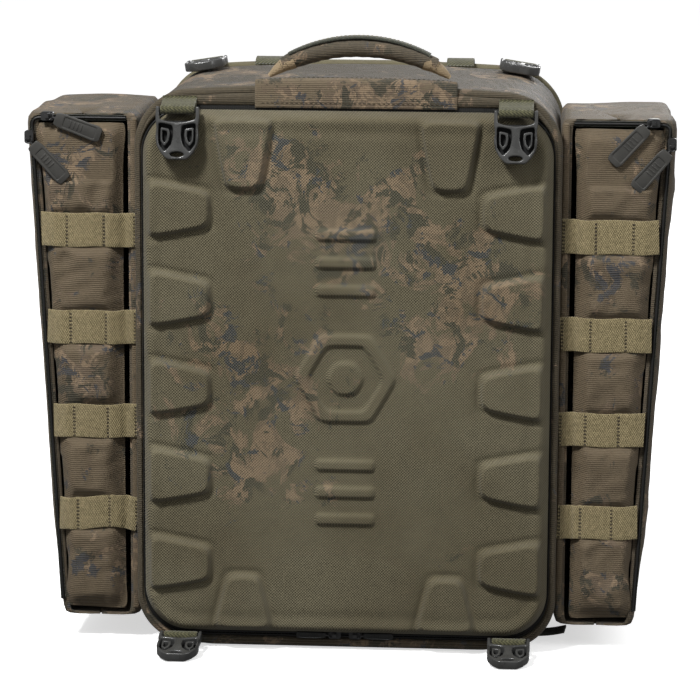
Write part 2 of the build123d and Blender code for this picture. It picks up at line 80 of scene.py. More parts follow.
def feed(node, inputs):
    """Sets a node's inputs to values or to other nodes' outputs."""
    for key, value in inputs.items():
        if isinstance(value, bpy.types.NodeSocket):
            node.id_data.links.new(value, node.inputs[key])
        else:
            node.inputs[key].default_value = value


class Mat:
    """A material with short helpers for its nodes."""

    def __init__(self, name, roughness, specular, sheen=0.0, coat=0.0):
        self.mat = bpy.data.materials.new(name)
        self.mat.use_nodes = True
        self.tree = self.mat.node_tree
        self.bsdf = self.tree.nodes["Principled BSDF"]
        feed(self.bsdf, {"Roughness": roughness, "Sheen Weight": sheen, "Sheen Roughness": 0.5,
                         "Specular IOR Level": specular, "Coat Weight": coat})
        self.coord = self.node("ShaderNodeTexCoord", {}).outputs["Object"]

    def node(self, kind, inputs, **settings):
        n = self.tree.nodes.new(kind)
        for key, value in settings.items():
            setattr(n, key, value)
        feed(n, inputs)
        return n

    def math(self, op, a, b=0.0, clamp=False):
        n = self.node("ShaderNodeMath", {0: a, 1: b}, operation=op, use_clamp=clamp)
        return n.outputs[0]

    def mul(self, a, b):
        return self.math("MULTIPLY", a, b)

    def add(self, a, b, clamp=False):
        return self.math("ADD", a, b, clamp)

    def noise(self, scale, detail=3.0, rough=0.55, distortion=0.0, shift=(0, 0, 0)):
        m = self.node("ShaderNodeMapping", {"Location": shift, "Vector": self.coord})
        n = self.node("ShaderNodeTexNoise", {
            "Scale": scale, "Detail": detail, "Roughness": rough, "Distortion": distortion,
            "Vector": m.outputs[0]})
        return n.outputs["Fac"]

    def step(self, value, low, high):
        n = self.node("ShaderNodeMapRange", {"From Min": low, "From Max": high, "Value": value},
                      interpolation_type="SMOOTHSTEP")
        return n.outputs[0]

    def mix(self, fac, a, b, blend="MIX"):
        n = self.node("ShaderNodeMix", {}, data_type="RGBA", blend_type=blend)
        feed(n, {"Factor": fac, "A": a, "B": b})
        return n.outputs["Result"]

    def axes(self):
        return self.node("ShaderNodeSeparateXYZ", {0: self.coord}).outputs

    def wave(self, weights, pitch):
        """Sine of a weighted sum of the coordinates, one cycle per pitch in mm."""
        out = self.axes()
        total = 0.0
        for axis, weight in enumerate(weights):
            if weight:
                total = self.add(self.mul(out[axis], weight * 2 * math.pi / (pitch * MM)), total)
        return self.math("SINE", total)

    def weave(self, pitch):
        """Crossing threads that work on faces turned any way."""
        return self.mul(self.wave((1, 0.7, 0), pitch), self.wave((0, 0.7, 1), pitch))

    def finish(self, colour, rough, *bumps):
        """Sets colour and roughness, and bumps given as (height, distance in mm, strength)."""
        inputs = {"Base Color": colour, "Roughness": rough}
        for height, distance, strength in bumps:
            n = self.node("ShaderNodeBump", {"Distance": distance * MM, "Strength": strength,
                                             "Height": height})
            if "Normal" in inputs:
                feed(n, {"Normal": inputs["Normal"]})
            inputs["Normal"] = n.outputs[0]
        feed(self.bsdf, inputs)
        return self.mat


def spots(m, centres):
    """1 inside soft ellipses on the front, given as (x, z, half width, half height)."""
    out = m.axes()
    total = 0.0
    for x, z, rx, rz in centres:
        dx = m.mul(m.math("SUBTRACT", out[0], x * MM), 1 / (rx * MM))
        dz = m.mul(m.math("SUBTRACT", out[2], z * MM), 1 / (rz * MM))
        reach = m.add(m.mul(dx, dx), m.mul(dz, dz))
        total = m.math("MAXIMUM", total, m.math("SUBTRACT", 1.0, m.mul(reach, 0.6)))
    return total


def camo(m, colours, amount, shift, area=None):
    """Printed leaf camouflage: ragged patches of four colours over the ground colour."""
    ground, tan, brown, dark, slate = (srgb(*c) for c in colours)
    leaf = m.noise(26, 6, 0.72, 1.6, (shift, 0.3, 0.1))
    patch = m.noise(11, 3, 0.6, 0.5, (shift, 2.0, 5.0))
    gate = m.add(m.mul(leaf, 0.55), m.mul(patch, 0.45))
    if area is not None:
        gate = m.add(gate, m.mul(m.math("SUBTRACT", area, 0.5), 0.16))
    tone = m.noise(60, 5, 0.7, 1.0, (shift, 4.0, 1.0))
    blot = m.noise(34, 5, 0.68, 1.2, (shift + 3, 7.0, 2.0))
    cold = m.noise(40, 4, 0.7, 0.8, (shift + 9, 1.0, 8.0))
    col = m.mix(m.step(tone, 0.35, 0.7), ground, shaded(ground, 0.82))
    col = m.mix(m.step(gate, 0.52 - amount, 0.545 - amount), col, brown)
    for share, low, high, colour in ((m.step(tone, 0.47, 0.52), 0.54, 0.56, tan),
                                     (m.step(blot, 0.535, 0.555), 0.49, 0.53, dark),
                                     (m.step(cold, 0.57, 0.59), 0.5, 0.53, slate)):
        col = m.mix(m.mul(m.step(gate, low - amount, high - amount), share), col, colour)
    return col


def fabric(name, ground, amount, shift, pitch=1.2):
    """Camouflage cloth with fine ribs, worn threads and an uneven face."""
    m = Mat(name, 0.82, 0.25, sheen=0.08)
    col = camo(m, (ground, (128, 109, 87), (92, 78, 64), (40, 41, 34), (44, 50, 59)), amount,
               shift)
    threads = m.mul(m.wave((0, 0, 1), pitch), m.wave((1, 1, 0), pitch * 0.8))
    ribs = m.wave((0, 0.6, 1), pitch * 1.5)
    worn = m.noise(420, 2, 0.6)
    shade = m.add(m.mul(ribs, 0.10), m.mul(worn, 0.26))
    col = m.mix(m.add(shade, 0.02, True), col, srgb(142, 128, 104))
    return m.finish(col, m.add(0.5, m.mul(worn, 0.25)),
                    (m.noise(30, 4), 1.8, 0.4), (ribs, 0.3, 0.5), (threads, 0.25, 0.6))


def eva_material():
    """Moulded foam under a coarse olive weave, printed in a few areas only."""
    m = Mat("eva_weave", 0.8, 0.3, sheen=0.12)
    where = spots(m, [(5, 345, 125, 80), (95, 300, 75, 70), (-75, 190, 85, 75),
                      (-20, 415, 130, 45), (-130, 270, 50, 60)])
    col = camo(m, ((86, 80, 61), (124, 105, 84), (103, 88, 71), (50, 50, 40), (44, 51, 60)),
               -0.03, 0.7, where)
    threads = m.weave(2.5)
    fine = m.noise(520, 2, 0.6)
    shade = m.add(m.mul(threads, 0.36), m.mul(fine, 0.16))
    col = m.mix(m.add(shade, 0.06, True), col, srgb(150, 142, 114))
    dim = m.mix(m.step(m.noise(7, 3), 0.35, 0.7), srgb(255, 255, 255), srgb(226, 222, 214))
    return m.finish(m.mix(1.0, col, dim, "MULTIPLY"), m.add(0.62, m.mul(fine, 0.3)),
                    (m.noise(14, 3), 2.0, 0.2), (threads, 0.5, 0.7))


def webbing(name, colour, light, axis, pitch=1.7):
    """Ribbed webbing. axis is the way it runs: ribs cross it."""
    m = Mat(name, 0.75, 0.25, sheen=0.2)
    ribs = m.wave([float(a == axis) for a in "xyz"], pitch)
    cords = m.wave([0.0 if a == axis else 0.8 for a in "xyz"], 2.6)
    weave = m.mul(ribs, cords)
    mixed = m.add(m.mul(weave, 0.28), m.mul(m.noise(300, 3), 0.8))
    return m.finish(m.mix(m.step(mixed, 0.1, 0.75), srgb(*colour), srgb(*light)), 0.75,
                    (weave, 0.5, 0.8), (m.noise(90, 3), 0.8, 0.25))


def plastic(name, colour, roughness=0.38, grain=0.06):
    m = Mat(name, roughness, 0.5, coat=0.05)
    big = m.noise(60, 3)
    colour = srgb(*colour)
    return m.finish(m.mix(m.step(big, 0.3, 0.75), colour, shaded(colour, 1.5)),
                    m.add(roughness - 0.06, m.mul(big, 0.16)), (m.noise(900, 2), grain, 0.5))


def mesh_fabric(name, colour, light):
    """Spacer mesh with small round holes."""
    m = Mat(name, 0.9, 0.15, sheen=0.15)
    holes = m.weave(3.2)
    return m.finish(m.mix(m.step(holes, -0.2, 0.5), srgb(*colour), srgb(*light)), 0.9,
                    (holes, 0.9, 0.8), (m.noise(120, 3), 0.6, 0.3))


CAMO = fabric("camo_pocket", (92, 79, 61), 0.0, 0.0)
CAMO_BODY = fabric("camo_body", (42, 39, 33), 0.0, 5.0)
CAMO_SHELL = fabric("camo_shell", (74, 65, 52), 0.01, 13.0)
CAMO_PATCH = fabric("camo_patch", (98, 86, 68), 0.02, 2.0)
CAMO_GRIP = fabric("camo_grip", (64, 58, 48), 0.02, 8.0)
# Band cloth: a darker cloth whose ground is set to the shaded band at the sides, so part of its
# darkness is painted shade
BAND = fabric("band_cloth_painted_shade", (54, 48, 36), -0.02, 11.0)
EVA = eva_material()
WEB_X = webbing("webbing_x", (112, 101, 70), (162, 147, 110), "x", 1.5)
WEB_Y = webbing("webbing_y", (54, 53, 35), (92, 90, 63), "y", 2.0)
WEB_Z = webbing("webbing_z", (74, 72, 50), (116, 112, 80), "z")
BINDING = webbing("dark_binding", (44, 46, 38), (86, 88, 76), "x", 1.3)
OLIVE = fabric("olive_cloth", (98, 94, 72), -0.08, 3.0)
DARK_CLOTH = fabric("dark_cloth", (72, 69, 57), -0.1, 4.0)
TAN = fabric("tan_cloth", (158, 138, 108), -0.1, 4.0, 0.9)
LINING = fabric("lining_cloth", (74, 70, 56), -0.2, 4.0, 0.9)
MESH = mesh_fabric("spacer_mesh", (40, 39, 33), (104, 100, 84))
# Black plastic lifted to dark grey, partly painted highlight on the buckle frames; the buckle body
# below is a near-black copy, painted shade for the cavity behind the windows
BLACK = plastic("black_plastic", (56, 56, 55), 0.26)
CORE_SHADE = plastic("buckle_core_painted_shade", (5, 5, 5), 0.85)
RUBBER = plastic("grey_rubber", (50, 49, 46), 0.5, 0.12)
METAL = plastic("slider_metal", (38, 38, 38), 0.32)
COIL = plastic("zip_coil", (14, 14, 13), 0.5)
TAPE = webbing("zip_tape", (12, 12, 11), (30, 29, 26), "z", 1.0)
THREAD = plastic("thread", (58, 50, 36), 0.8)
PALE_THREAD = plastic("pale_thread", (112, 104, 80), 0.8)
BASE = plastic("base_rubber", (30, 30, 28), 0.6, 0.4)


# ---------------------------------------------------------------- mesh helpers
def linked(name, data):
    """A new object in the scene for some data."""
    obj = bpy.data.objects.new(name, data)
    bpy.context.scene.collection.objects.link(obj)
    return obj


def smooth(mesh):
    mesh.polygons.foreach_set("use_smooth", [True] * len(mesh.polygons))


def clean(mesh, weld, dissolve=0.0):
    """Welds close points and turns the faces outwards; distances are metres."""
    bm = bmesh.new()
    bm.from_mesh(mesh)
    bmesh.ops.remove_doubles(bm, verts=bm.verts, dist=weld)
    if dissolve:
        bmesh.ops.dissolve_degenerate(bm, edges=bm.edges, dist=dissolve)
    bmesh.ops.recalc_face_normals(bm, faces=bm.faces)
    bm.to_mesh(mesh)
    bm.free()


def make(name, verts, faces, mat, weld=False):
    """A mesh object from points in mm."""
    data = bpy.data.meshes.new(name)
    data.from_pydata((np.asarray(verts, float).reshape(-1, 3) * MM).tolist(), [], faces)
    data.update()
    if weld:
        clean(data, 0.00002, 0.00001)
    data.materials.append(mat)
    smooth(data)
    return linked(name, data)


def put(obj, body, slot, *nodes):
    """Hides the CAD nodes a piece stands for and puts the piece on the body it rides on. The slot
    argument is not used.
    """
    if nodes:
        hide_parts(*nodes)
    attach(obj, body)


def put_pad(obj, name, mat, fill, body, slot, *nodes):
    """Names and covers a padded piece and puts it in place."""
    obj.name = name
    obj.data.materials.clear()
    obj.data.materials.append(mat)
    put(obj, body, slot, *nodes)


def grid(points, close_u=False, close_v=False, caps=False):
    """Faces for points[i, j], joined in both directions; caps close the two ends of u."""
    nu, nv = points.shape[:2]
    faces = []
    for i in range(nu if close_u else nu - 1):
        for j in range(nv if close_v else nv - 1):
            a, b = i, (i + 1) % nu
            c, d = j, (j + 1) % nv
            faces.append((a * nv + c, b * nv + c, b * nv + d, a * nv + d))
    if caps:
        faces.append(tuple(range(nv))[::-1])
        faces.append(tuple((nu - 1) * nv + j for j in range(nv)))
    return faces


def evaluated(obj):
    """The object's mesh with its modifiers applied, as a new mesh."""
    graph = bpy.context.evaluated_depsgraph_get()
    return bpy.data.meshes.new_from_object(obj.evaluated_get(graph))


def apply_all(obj):
    mesh = evaluated(obj)
    obj.modifiers.clear()
    old = obj.data
    obj.data = mesh
    bpy.data.meshes.remove(old)
    smooth(mesh)


def modifier(obj, kind, **values):
    """Adds a modifier, applies it and leaves only its result."""
    mod = obj.modifiers.new("m", kind)
    for key, value in values.items():
        setattr(mod, key, value)
    apply_all(obj)


def resample(points, count, closed=False):
    """Points evenly spaced along a polyline."""
    p = np.asarray(points, float)
    if closed:
        p = np.vstack([p, p[:1]])
    length = np.r_[0, np.cumsum(np.linalg.norm(np.diff(p, axis=0), axis=1))]
    at = np.linspace(0, length[-1], count, endpoint=not closed)
    return np.stack([np.interp(at, length, p[:, k]) for k in range(p.shape[1])], 1)


def smooth_line(points, count, rounds=3):
    """A polyline with its corners cut, evenly spaced, ends kept."""
    p = np.asarray(points, float)
    for _ in range(rounds):
        cut = np.stack([0.75 * p[:-1] + 0.25 * p[1:], 0.25 * p[:-1] + 0.75 * p[1:]], 1)
        p = np.vstack([p[:1], np.reshape(cut, (-1, p.shape[1])), p[-1:]])
    return resample(p, count)


def loop(half, low, high, radius, rise=0.0, grow=0.0, count=360):
    """Closed rounded outline in XZ, counted from the middle of the base, with a bowed top."""
    half, low, high, radius = half + grow, low - grow, high + grow, radius + grow
    corners = [(half - radius, low + radius, -90), (half - radius, high - radius, 0),
               (radius - half, high - radius, 90), (radius - half, low + radius, 180)]
    pts = [(0.0, low)]
    for cx, cz, start in corners:
        for k in range(25):
            a = math.radians(start + 90 * k / 24)
            pts.append((cx + radius * math.cos(a), cz + radius * math.sin(a)))
        if start == 0:
            pts.extend((x, high) for x in np.linspace(cx, -cx, 41)[1:-1])
    p = resample(pts, count, True)
    lift = np.clip((p[:, 1] - (high - radius)) / radius, 0, 1)
    p[:, 1] += rise * (1 - (p[:, 0] / half) ** 2) * lift
    return p


def body_loop(grow=0.0, count=360):
    """Front outline of the bag's body, moved outwards by grow."""
    return loop(HALF, BODY_LOW, BODY_H, CORNER, RISE, grow, count)


def on_loop(path, y):
    return np.stack([path[:, 0], np.full(len(path), y), path[:, 1]], 1)


def at_x(line, x):
    return np.stack([np.full(len(line), x), line[:, 0], line[:, 1]], 1)


def ring(name, path, section, mat, wobble=None):
    """Sweeps a closed section of (outward, y) points round a closed XZ outline."""
    t = np.roll(path, -1, 0) - np.roll(path, 1, 0)
    n = np.stack([t[:, 1], -t[:, 0]], 1)
    n = n / np.linalg.norm(n, axis=1)[:, None]
    s = np.asarray(section, float)
    pts = np.zeros((len(path), len(s), 3))
    pts[:, :, 0] = path[:, None, 0] + n[:, None, 0] * s[None, :, 0]
    pts[:, :, 2] = path[:, None, 1] + n[:, None, 1] * s[None, :, 0]
    pts[:, :, 1] = s[None, :, 1]
    if wobble is not None:
        pts = wobble(pts, n)
    return make(name, pts, grid(pts, True, True), mat)


def band(name, outer, inner, section, mat):
    """Ruled ring between two outlines: section gives (share from outer to inner, y)."""
    s = np.asarray(section, float)
    pts = np.zeros((len(outer), len(s), 3))
    mix = outer[:, None, :] + (inner - outer)[:, None, :] * s[None, :, :1]
    pts[:, :, 0], pts[:, :, 2], pts[:, :, 1] = mix[:, :, 0], mix[:, :, 1], s[None, :, 1]
    return make(name, pts, grid(pts, True, True), mat)


def unit(rows):
    return rows / np.linalg.norm(rows, axis=1)[:, None]


def swept(name, path, section, side, mat, closed=False, scale=None):
    """Carries a closed section along a path; side is the section's first axis."""
    p, s = np.asarray(path, float), np.asarray(section, float)
    t = unit(np.roll(p, -1, 0) - np.roll(p, 1, 0) if closed else np.gradient(p, axis=0))
    w = np.broadcast_to(np.asarray(side, float), p.shape)
    w = unit(w - (w * t).sum(1)[:, None] * t)
    n = np.cross(t, w)
    scale = (np.ones(len(p)) if scale is None else scale)[:, None, None]
    pts = (p[:, None, :] + w[:, None, :] * (s[None, :, :1] * scale)
           + n[:, None, :] * (s[None, :, 1:] * scale))
    return make(name, pts, grid(pts, closed, True, caps=not closed), mat)


def tube(name, path, radius, mat, closed=False, count=12, flat=1.0, scale=None):
    a = np.linspace(0, 2 * math.pi, count, endpoint=False)
    circle = np.stack([radius * np.cos(a), radius * flat * np.sin(a)], 1)
    return swept(name, path, circle, (0, 1, 0), mat, closed, scale)


def strap(name, path, width, thick, side, mat, scale=None):
    """Flat strap with rounded edges and points across its faces."""
    r = thick / 2
    xs = np.linspace(-width / 2 + r, width / 2 - r, 9)
    right = [(width / 2 - r + r * math.cos(a), r * math.sin(a))
             for a in np.radians([60, 30, 0, -30, -60])]
    section = ([(x, r) for x in xs] + right + [(x, -r) for x in xs[::-1]]
               + [(-x, -z) for x, z in right])
    return swept(name, path, section, side, mat, scale=scale)


def join(name, objs):
    """Several objects as one piece."""
    verts, faces, mats, index = [], [], [], []
    for o in objs:
        base = len(verts)
        verts.extend(tuple(v.co) for v in o.data.vertices)
        own = []
        for m in o.data.materials:
            if m not in mats:
                mats.append(m)
            own.append(mats.index(m))
        for f in o.data.polygons:
            faces.append(tuple(base + v for v in f.vertices))
            index.append(own[f.material_index])
        bpy.data.objects.remove(o)
    data = bpy.data.meshes.new(name)
    data.from_pydata(verts, [], faces)
    for m in mats:
        data.materials.append(m)
    data.polygons.foreach_set("material_index", index)
    smooth(data)
    data.update()
    return linked(name, data)


def stitches(path, normal, mat=THREAD, length=2.6, gap=1.5, radius=0.34):
    """A row of raised stitches along a polyline."""
    total = np.linalg.norm(np.diff(np.asarray(path, float), axis=0), axis=1).sum()
    count = max(2, int(total / (length + gap)))
    at = resample(path, count * 2 + 1)
    normal = np.asarray(normal, float)
    normals = np.broadcast_to(normal, at.shape) if normal.ndim == 1 else resample(normal, len(at))
    # four rings of six points: pinched ends, full middle
    rings = ((-1, 0.35), (-0.55, 1), (0.55, 1), (1, 0.35))
    hexagon = ((1, 0), (0.5, 0.85), (-0.5, 0.85), (-1, 0), (-0.5, -0.6), (0.5, -0.6))
    verts, faces = [], []
    for k in range(count):
        a, b = at[2 * k], at[2 * k + 1]
        d = (b - a) / max(np.linalg.norm(b - a), 1e-6)
        n = normals[2 * k] / np.linalg.norm(normals[2 * k])
        w = np.cross(d, n)
        mid, reach = (a + b) / 2, length / 2
        base = len(verts)
        for share, size in rings:
            for c, s in hexagon:
                lift = s * size if abs(share) < 1 else -0.4
                verts.append(mid + d * reach * share + w * radius * c * size + n * radius * lift)
        for i in range(3):
            for j in range(6):
                q = (j + 1) % 6
                faces.append((base + i * 6 + j, base + (i + 1) * 6 + j,
                              base + (i + 1) * 6 + q, base + i * 6 + q))
        faces.append(tuple(base + j for j in range(6)))
        faces.append(tuple(base + 18 + j for j in reversed(range(6))))
    return make("stitch", verts, faces, mat)


def plate(name, outlines, thick, bevel, mat, matrix, offset=0.0):
    """Flat plate with rounded edges from outlines in local XY; inner outlines are holes."""
    curve = bpy.data.curves.new(name, "CURVE")
    curve.dimensions = "2D"
    curve.fill_mode = "BOTH"
    curve.extrude = (thick / 2 - bevel) * MM
    curve.bevel_depth = bevel * MM
    curve.bevel_resolution = 2
    curve.offset = -bevel * MM
    for line in outlines:
        spline = curve.splines.new("POLY")
        spline.points.add(len(line) - 1)
        spline.points.foreach_set("co", [c for x, y in line for c in (x * MM, y * MM, 0, 1)])
        spline.use_cyclic_u = True
    holder = linked(name + "_curve", curve)
    mesh = evaluated(holder)
    bpy.data.objects.remove(holder)
    mesh.transform(Matrix.Translation((0, 0, offset * MM)))
    mesh.transform(matrix)
    clean(mesh, 0.00001)
    mesh.materials.clear()
    mesh.materials.append(mat)
    return linked(name, mesh)


def rounded(points, radius, steps=4):
    """Closed outline with its corners rounded."""
    p = np.asarray(points, float)
    out = []
    for k in range(len(p)):
        a, b, c = p[k - 1], p[k], p[(k + 1) % len(p)]
        u, v = a - b, c - b
        reach = min(radius, np.linalg.norm(u) * 0.45, np.linalg.norm(v) * 0.45)
        s = b + u / np.linalg.norm(u) * reach
        e = b + v / np.linalg.norm(v) * reach
        for t in np.linspace(0, 1, steps + 1):
            out.append((1 - t) ** 2 * s + 2 * t * (1 - t) * b + t * t * e)
    return [tuple(q) for q in out]


def slab(half, low, high, radius, steps=4):
    """Rounded outline of a rectangle centred on x = 0."""
    return rounded([(-half, low), (half, low), (half, high), (-half, high)], radius, steps)


def mirrored(half):
    """A half outline followed by its mirror image, back to the start."""
    return half + [(-x, y) for x, y in half[::-1]]


def oval(y, rx, ry):
    return [(rx * math.cos(t), y + ry * math.sin(t))
            for t in np.linspace(0, 2 * math.pi, 20, endpoint=False)]


def hull_box(low, high, mat, name, edge):
    """Closed box with bevelled edges."""
    bm = bmesh.new()
    bmesh.ops.create_cube(bm, size=1.0)
    for v in bm.verts:
        v.co = Vector([(lo + hi) / 2 + (hi - lo) * c for lo, hi, c in zip(low, high, v.co)]) * MM
    bmesh.ops.bevel(bm, geom=bm.edges[:], offset=edge * MM, segments=4, profile=0.5,
                    affect="EDGES", clamp_overlap=True)
    data = bpy.data.meshes.new(name)
    bm.to_mesh(data)
    bm.free()
    data.materials.append(mat)
    smooth(data)
    return linked(name, data)


def mirror_x(obj):
    obj.data.transform(Matrix.Scale(-1, 4, (1, 0, 0)))
    obj.data.flip_normals()


def wander(p, scale, seed):
    """Smooth pseudo-random value for each point: a sum of slow waves."""
    r = np.random.default_rng(seed)
    total = np.zeros(p.shape[:-1])
    for k in range(6):
        d = r.normal(size=3)
        d /= np.linalg.norm(d)
        total += np.sin(p @ d * (2 * math.pi / (scale * r.uniform(0.6, 1.5))) + r.uniform(0, 6.28))
    return total / 6


def points_of(obj):
    return np.array([v.co for v in obj.data.vertices])


def puff(obj, cap, voxel, pressure=4.0, last=20):
    """Swells a closed pad by a short cloth simulation, held to a cap, and leaves a plain mesh."""
    modifier(obj, "REMESH", mode="VOXEL", voxel_size=voxel * MM)
    before = points_of(obj)
    scene = bpy.context.scene
    cloth = obj.modifiers.new("cloth", "CLOTH")
    s = cloth.settings
    s.quality = 4
    s.mass = 0.3
    s.use_pressure = True
    s.uniform_pressure_force = pressure
    s.effector_weights.gravity = 0
    s.tension_stiffness = s.compression_stiffness = 25
    cloth.collision_settings.use_collision = False
    cloth.point_cache.frame_start, cloth.point_cache.frame_end = 1, last
    for f in range(1, last + 1):
        scene.frame_set(f)
    apply_all(obj)
    scene.frame_set(1)
    move = points_of(obj) - before
    far = np.linalg.norm(move, axis=1)[:, None]
    move *= np.minimum(1, cap * MM / np.maximum(far, 1e-9))
    obj.data.vertices.foreach_set("co", (before + move).ravel())
    modifier(obj, "SUBSURF", levels=1)
    return obj


def warp(obj, fn):
    """Moves an object's points by a function of their positions in mm."""
    obj.data.vertices.foreach_set("co", (fn(points_of(obj) / MM) * MM).ravel())
    obj.data.update()


def warp_y(obj, fn):
    """Gives an object's points new Y values, by a function of their positions in mm."""
    warp(obj, lambda co: np.stack([co[:, 0], fn(co), co[:, 2]], 1))


def soft_step(d, width):
    t = np.clip(d / width, 0, 1)
    return t * t * (3 - 2 * t)


def crown(x):
    """Height of the bag's bowed top."""
    return BODY_H + RISE * (1 - (x / HALF) ** 2)


# ---------------------------------------------------------------- main bag
def soft_gusset(pts, n):
    """Sags the fabric walls a little inwards between their seams."""
    y = pts[:, :, 1]
    share = np.clip((y - GUSSET_Y[0]) / (GUSSET_Y[1] - GUSSET_Y[0]), 0, 1)
    bulge = np.sin(math.pi * share)
    depth = bulge * (1.3 + 1.1 * wander(pts, 150, 3))
    ripple = 0.5 * wander(pts, 42, 4) * bulge
    rim = (4.6 * np.clip((-98 - y) / 16, 0, 1) ** 1.6
           + 4.4 * np.clip((y - 92) / 24, 0, 1) ** 1.6)
    move = -np.clip(depth + ripple, 0, 3) * np.clip((rim - 5) / -5, 0, 1) - rim
    pts[:, :, 0] += n[:, None, 0] * move
    pts[:, :, 2] += n[:, None, 1] * move
    return pts


ys = np.linspace(*GUSSET_Y, 40)
put(ring("main_gusset_cloth", body_loop(), [(0, y) for y in ys] + [(-3.6, y) for y in ys[::-1]],
         CAMO_BODY, soft_gusset), "bag", "camo_fabric", "main_gusset")
# The band's cloth carries painted shade for the recess round the lid, on top of its own darker
# colour
put(band("front_band", body_loop(-4.2), loop(*OPEN),
         [(0, -112.4), (0, -116.4), (0.05, -118.6), (0.16, -120.2), (0.35, -121.0),
          (0.65, -121.0), (0.85, -120.4), (0.96, -119.0), (1, -117), (1, -114.2), (0.5, -113.6)],
         BAND), "bag", "band_fabric", "front_frame")

PIPING_POINTS, PUCKER_STEP = 700, 35
bead = 1 + 0.06 * np.interp(np.arange(PIPING_POINTS) % PUCKER_STEP, [0, 17, 34], [0, 1, 0])
for name, gap, y, radius, mat in (("front_piping", -3.6, -115.4, 4.2, BAND),
                                  ("rear_piping", -3.4, 116.4, 5.0, OLIVE)):
    put(tube(f"{name}_roll", on_loop(body_loop(gap, PIPING_POINTS), y), radius, mat, closed=True,
             scale=bead), "bag", "binding", name)

TAPE_SECTION = [(0.4, -115.7), (0.4, -116.8), (-9, -116.8), (-9, -115.7)]
put(ring("opening_tape", loop(*OPEN), TAPE_SECTION, TAPE), "bag", "zip_coil", "main_zip_tape")


def teeth(count, depth):
    """Thickness along a zip coil, up and down from point to point."""
    return 1 + depth * np.cos(np.arange(count) * math.pi)


MAIN_TEETH = 2600
for name, body, outline, gap, y, radius in (("coil_a", "bag", OPEN, -1.6, -117.6, 1.0),
                                            ("coil_b", "lid", LID, 1.2, -118.6, 0.9)):
    line = on_loop(loop(*outline, grow=gap, count=MAIN_TEETH), y)
    put(tube(name, line, radius, COIL, closed=True, count=8, scale=teeth(MAIN_TEETH, 0.22)),
        body, "zip_coil")

hinge_v = np.linspace(0, 1, 12)
hinge = np.zeros((90, 12, 3))
hinge[:, :, 0] = np.linspace(-132, 132, 90)[:, None]
hinge[:, :, 2] = 476.6 - 5.6 * hinge_v[None, :]
hinge[:, :, 1] = -118.6 - 0.5 * np.sin(math.pi * hinge_v)[None, :]
hinge_cloth = make("lid_hinge_cloth", hinge, grid(hinge), TAPE)
modifier(hinge_cloth, "SOLIDIFY", thickness=0.9 * MM, offset=0)
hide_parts("lid_hinge_tape")
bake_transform(hinge_cloth)

FRONTAL = Matrix(((1, 0, 0, 0), (0, 0, -1, 0), (0, 1, 0, 0), (0, 0, 0, 1)))


def shift_to(x, y, z):
    return Matrix.Translation(Vector((x, y, z)) * MM)


def turned(degrees, axis):
    return Matrix.Rotation(math.radians(degrees), 4, axis)


def frontal(y):
    """Places a plate drawn in XY upright, facing the front, with its middle plane at y."""
    return Matrix.Translation((0, y * MM, 0)) @ FRONTAL


back_outline = [tuple(p) for p in body_loop(-0.6, 200)]
put(plate("back_panel_cloth", [back_outline], 4.0, 1.2, DARK_CLOTH, frontal(118)), "bag",
    "camo_fabric", "back_panel")
put_pad(hull_box((-177.5, -112, 250), (177.5, 111.5, 254), LINING, "inner_shelf", 1.8),
        "inner_shelf", LINING, 0.8, "bag", "inner_lining", "inner_divider")


# ---------------------------------------------------------------- moulded lid
def inside(x, z, half, low, high, r):
    """Distance inside a rounded rectangle, negative outside."""
    mid, tall = (low + high) / 2, (high - low) / 2
    dx, dz = np.abs(x) - (half - r), np.abs(z - mid) - (tall - r)
    return -(np.hypot(np.maximum(dx, 0), np.maximum(dz, 0)) + np.minimum(np.maximum(dx, dz), 0)
             - r)


def convex(x, z, corners, r):
    """Distance inside a convex outline given counterclockwise, its corners softened by r."""
    p = np.asarray(corners, float)
    mid = p.mean(0)
    total = None
    for a, b in zip(p, np.roll(p, -1, 0)):
        d = b - a
        n = np.array([-d[1], d[0]]) / np.linalg.norm(d)
        if (mid - a) @ n < 0:
            n = -n
        side = (x - a[0]) * n[0] + (z - a[1]) * n[1]
        total = side if total is None else -r * np.logaddexp(-total / r, -side / r)
    return total


def trapezoid(x0, z0, angle, reach, outer, inner):
    """Block outline whose outer edge is centred at (x0, z0) and which reaches inwards."""
    c, s = math.cos(math.radians(angle)), math.sin(math.radians(angle))
    local = [(-outer / 2, 0), (outer / 2, 0), (inner / 2, reach), (-inner / 2, reach)]
    return [(x0 + c * x - s * y, z0 + s * x + c * y) for x, y in local]


def hexagon(radius):
    return [(radius * math.cos(a), LID_MID + radius * math.sin(a))
            for a in np.radians(np.arange(0, 360, 60))]


LID_RISE, BLOCK_RISE = 13.0, 6.0
BLOCK_STEP, BLOCK_INSET = 77.4, 5          # spacing up the sides, distance from the lid's edge


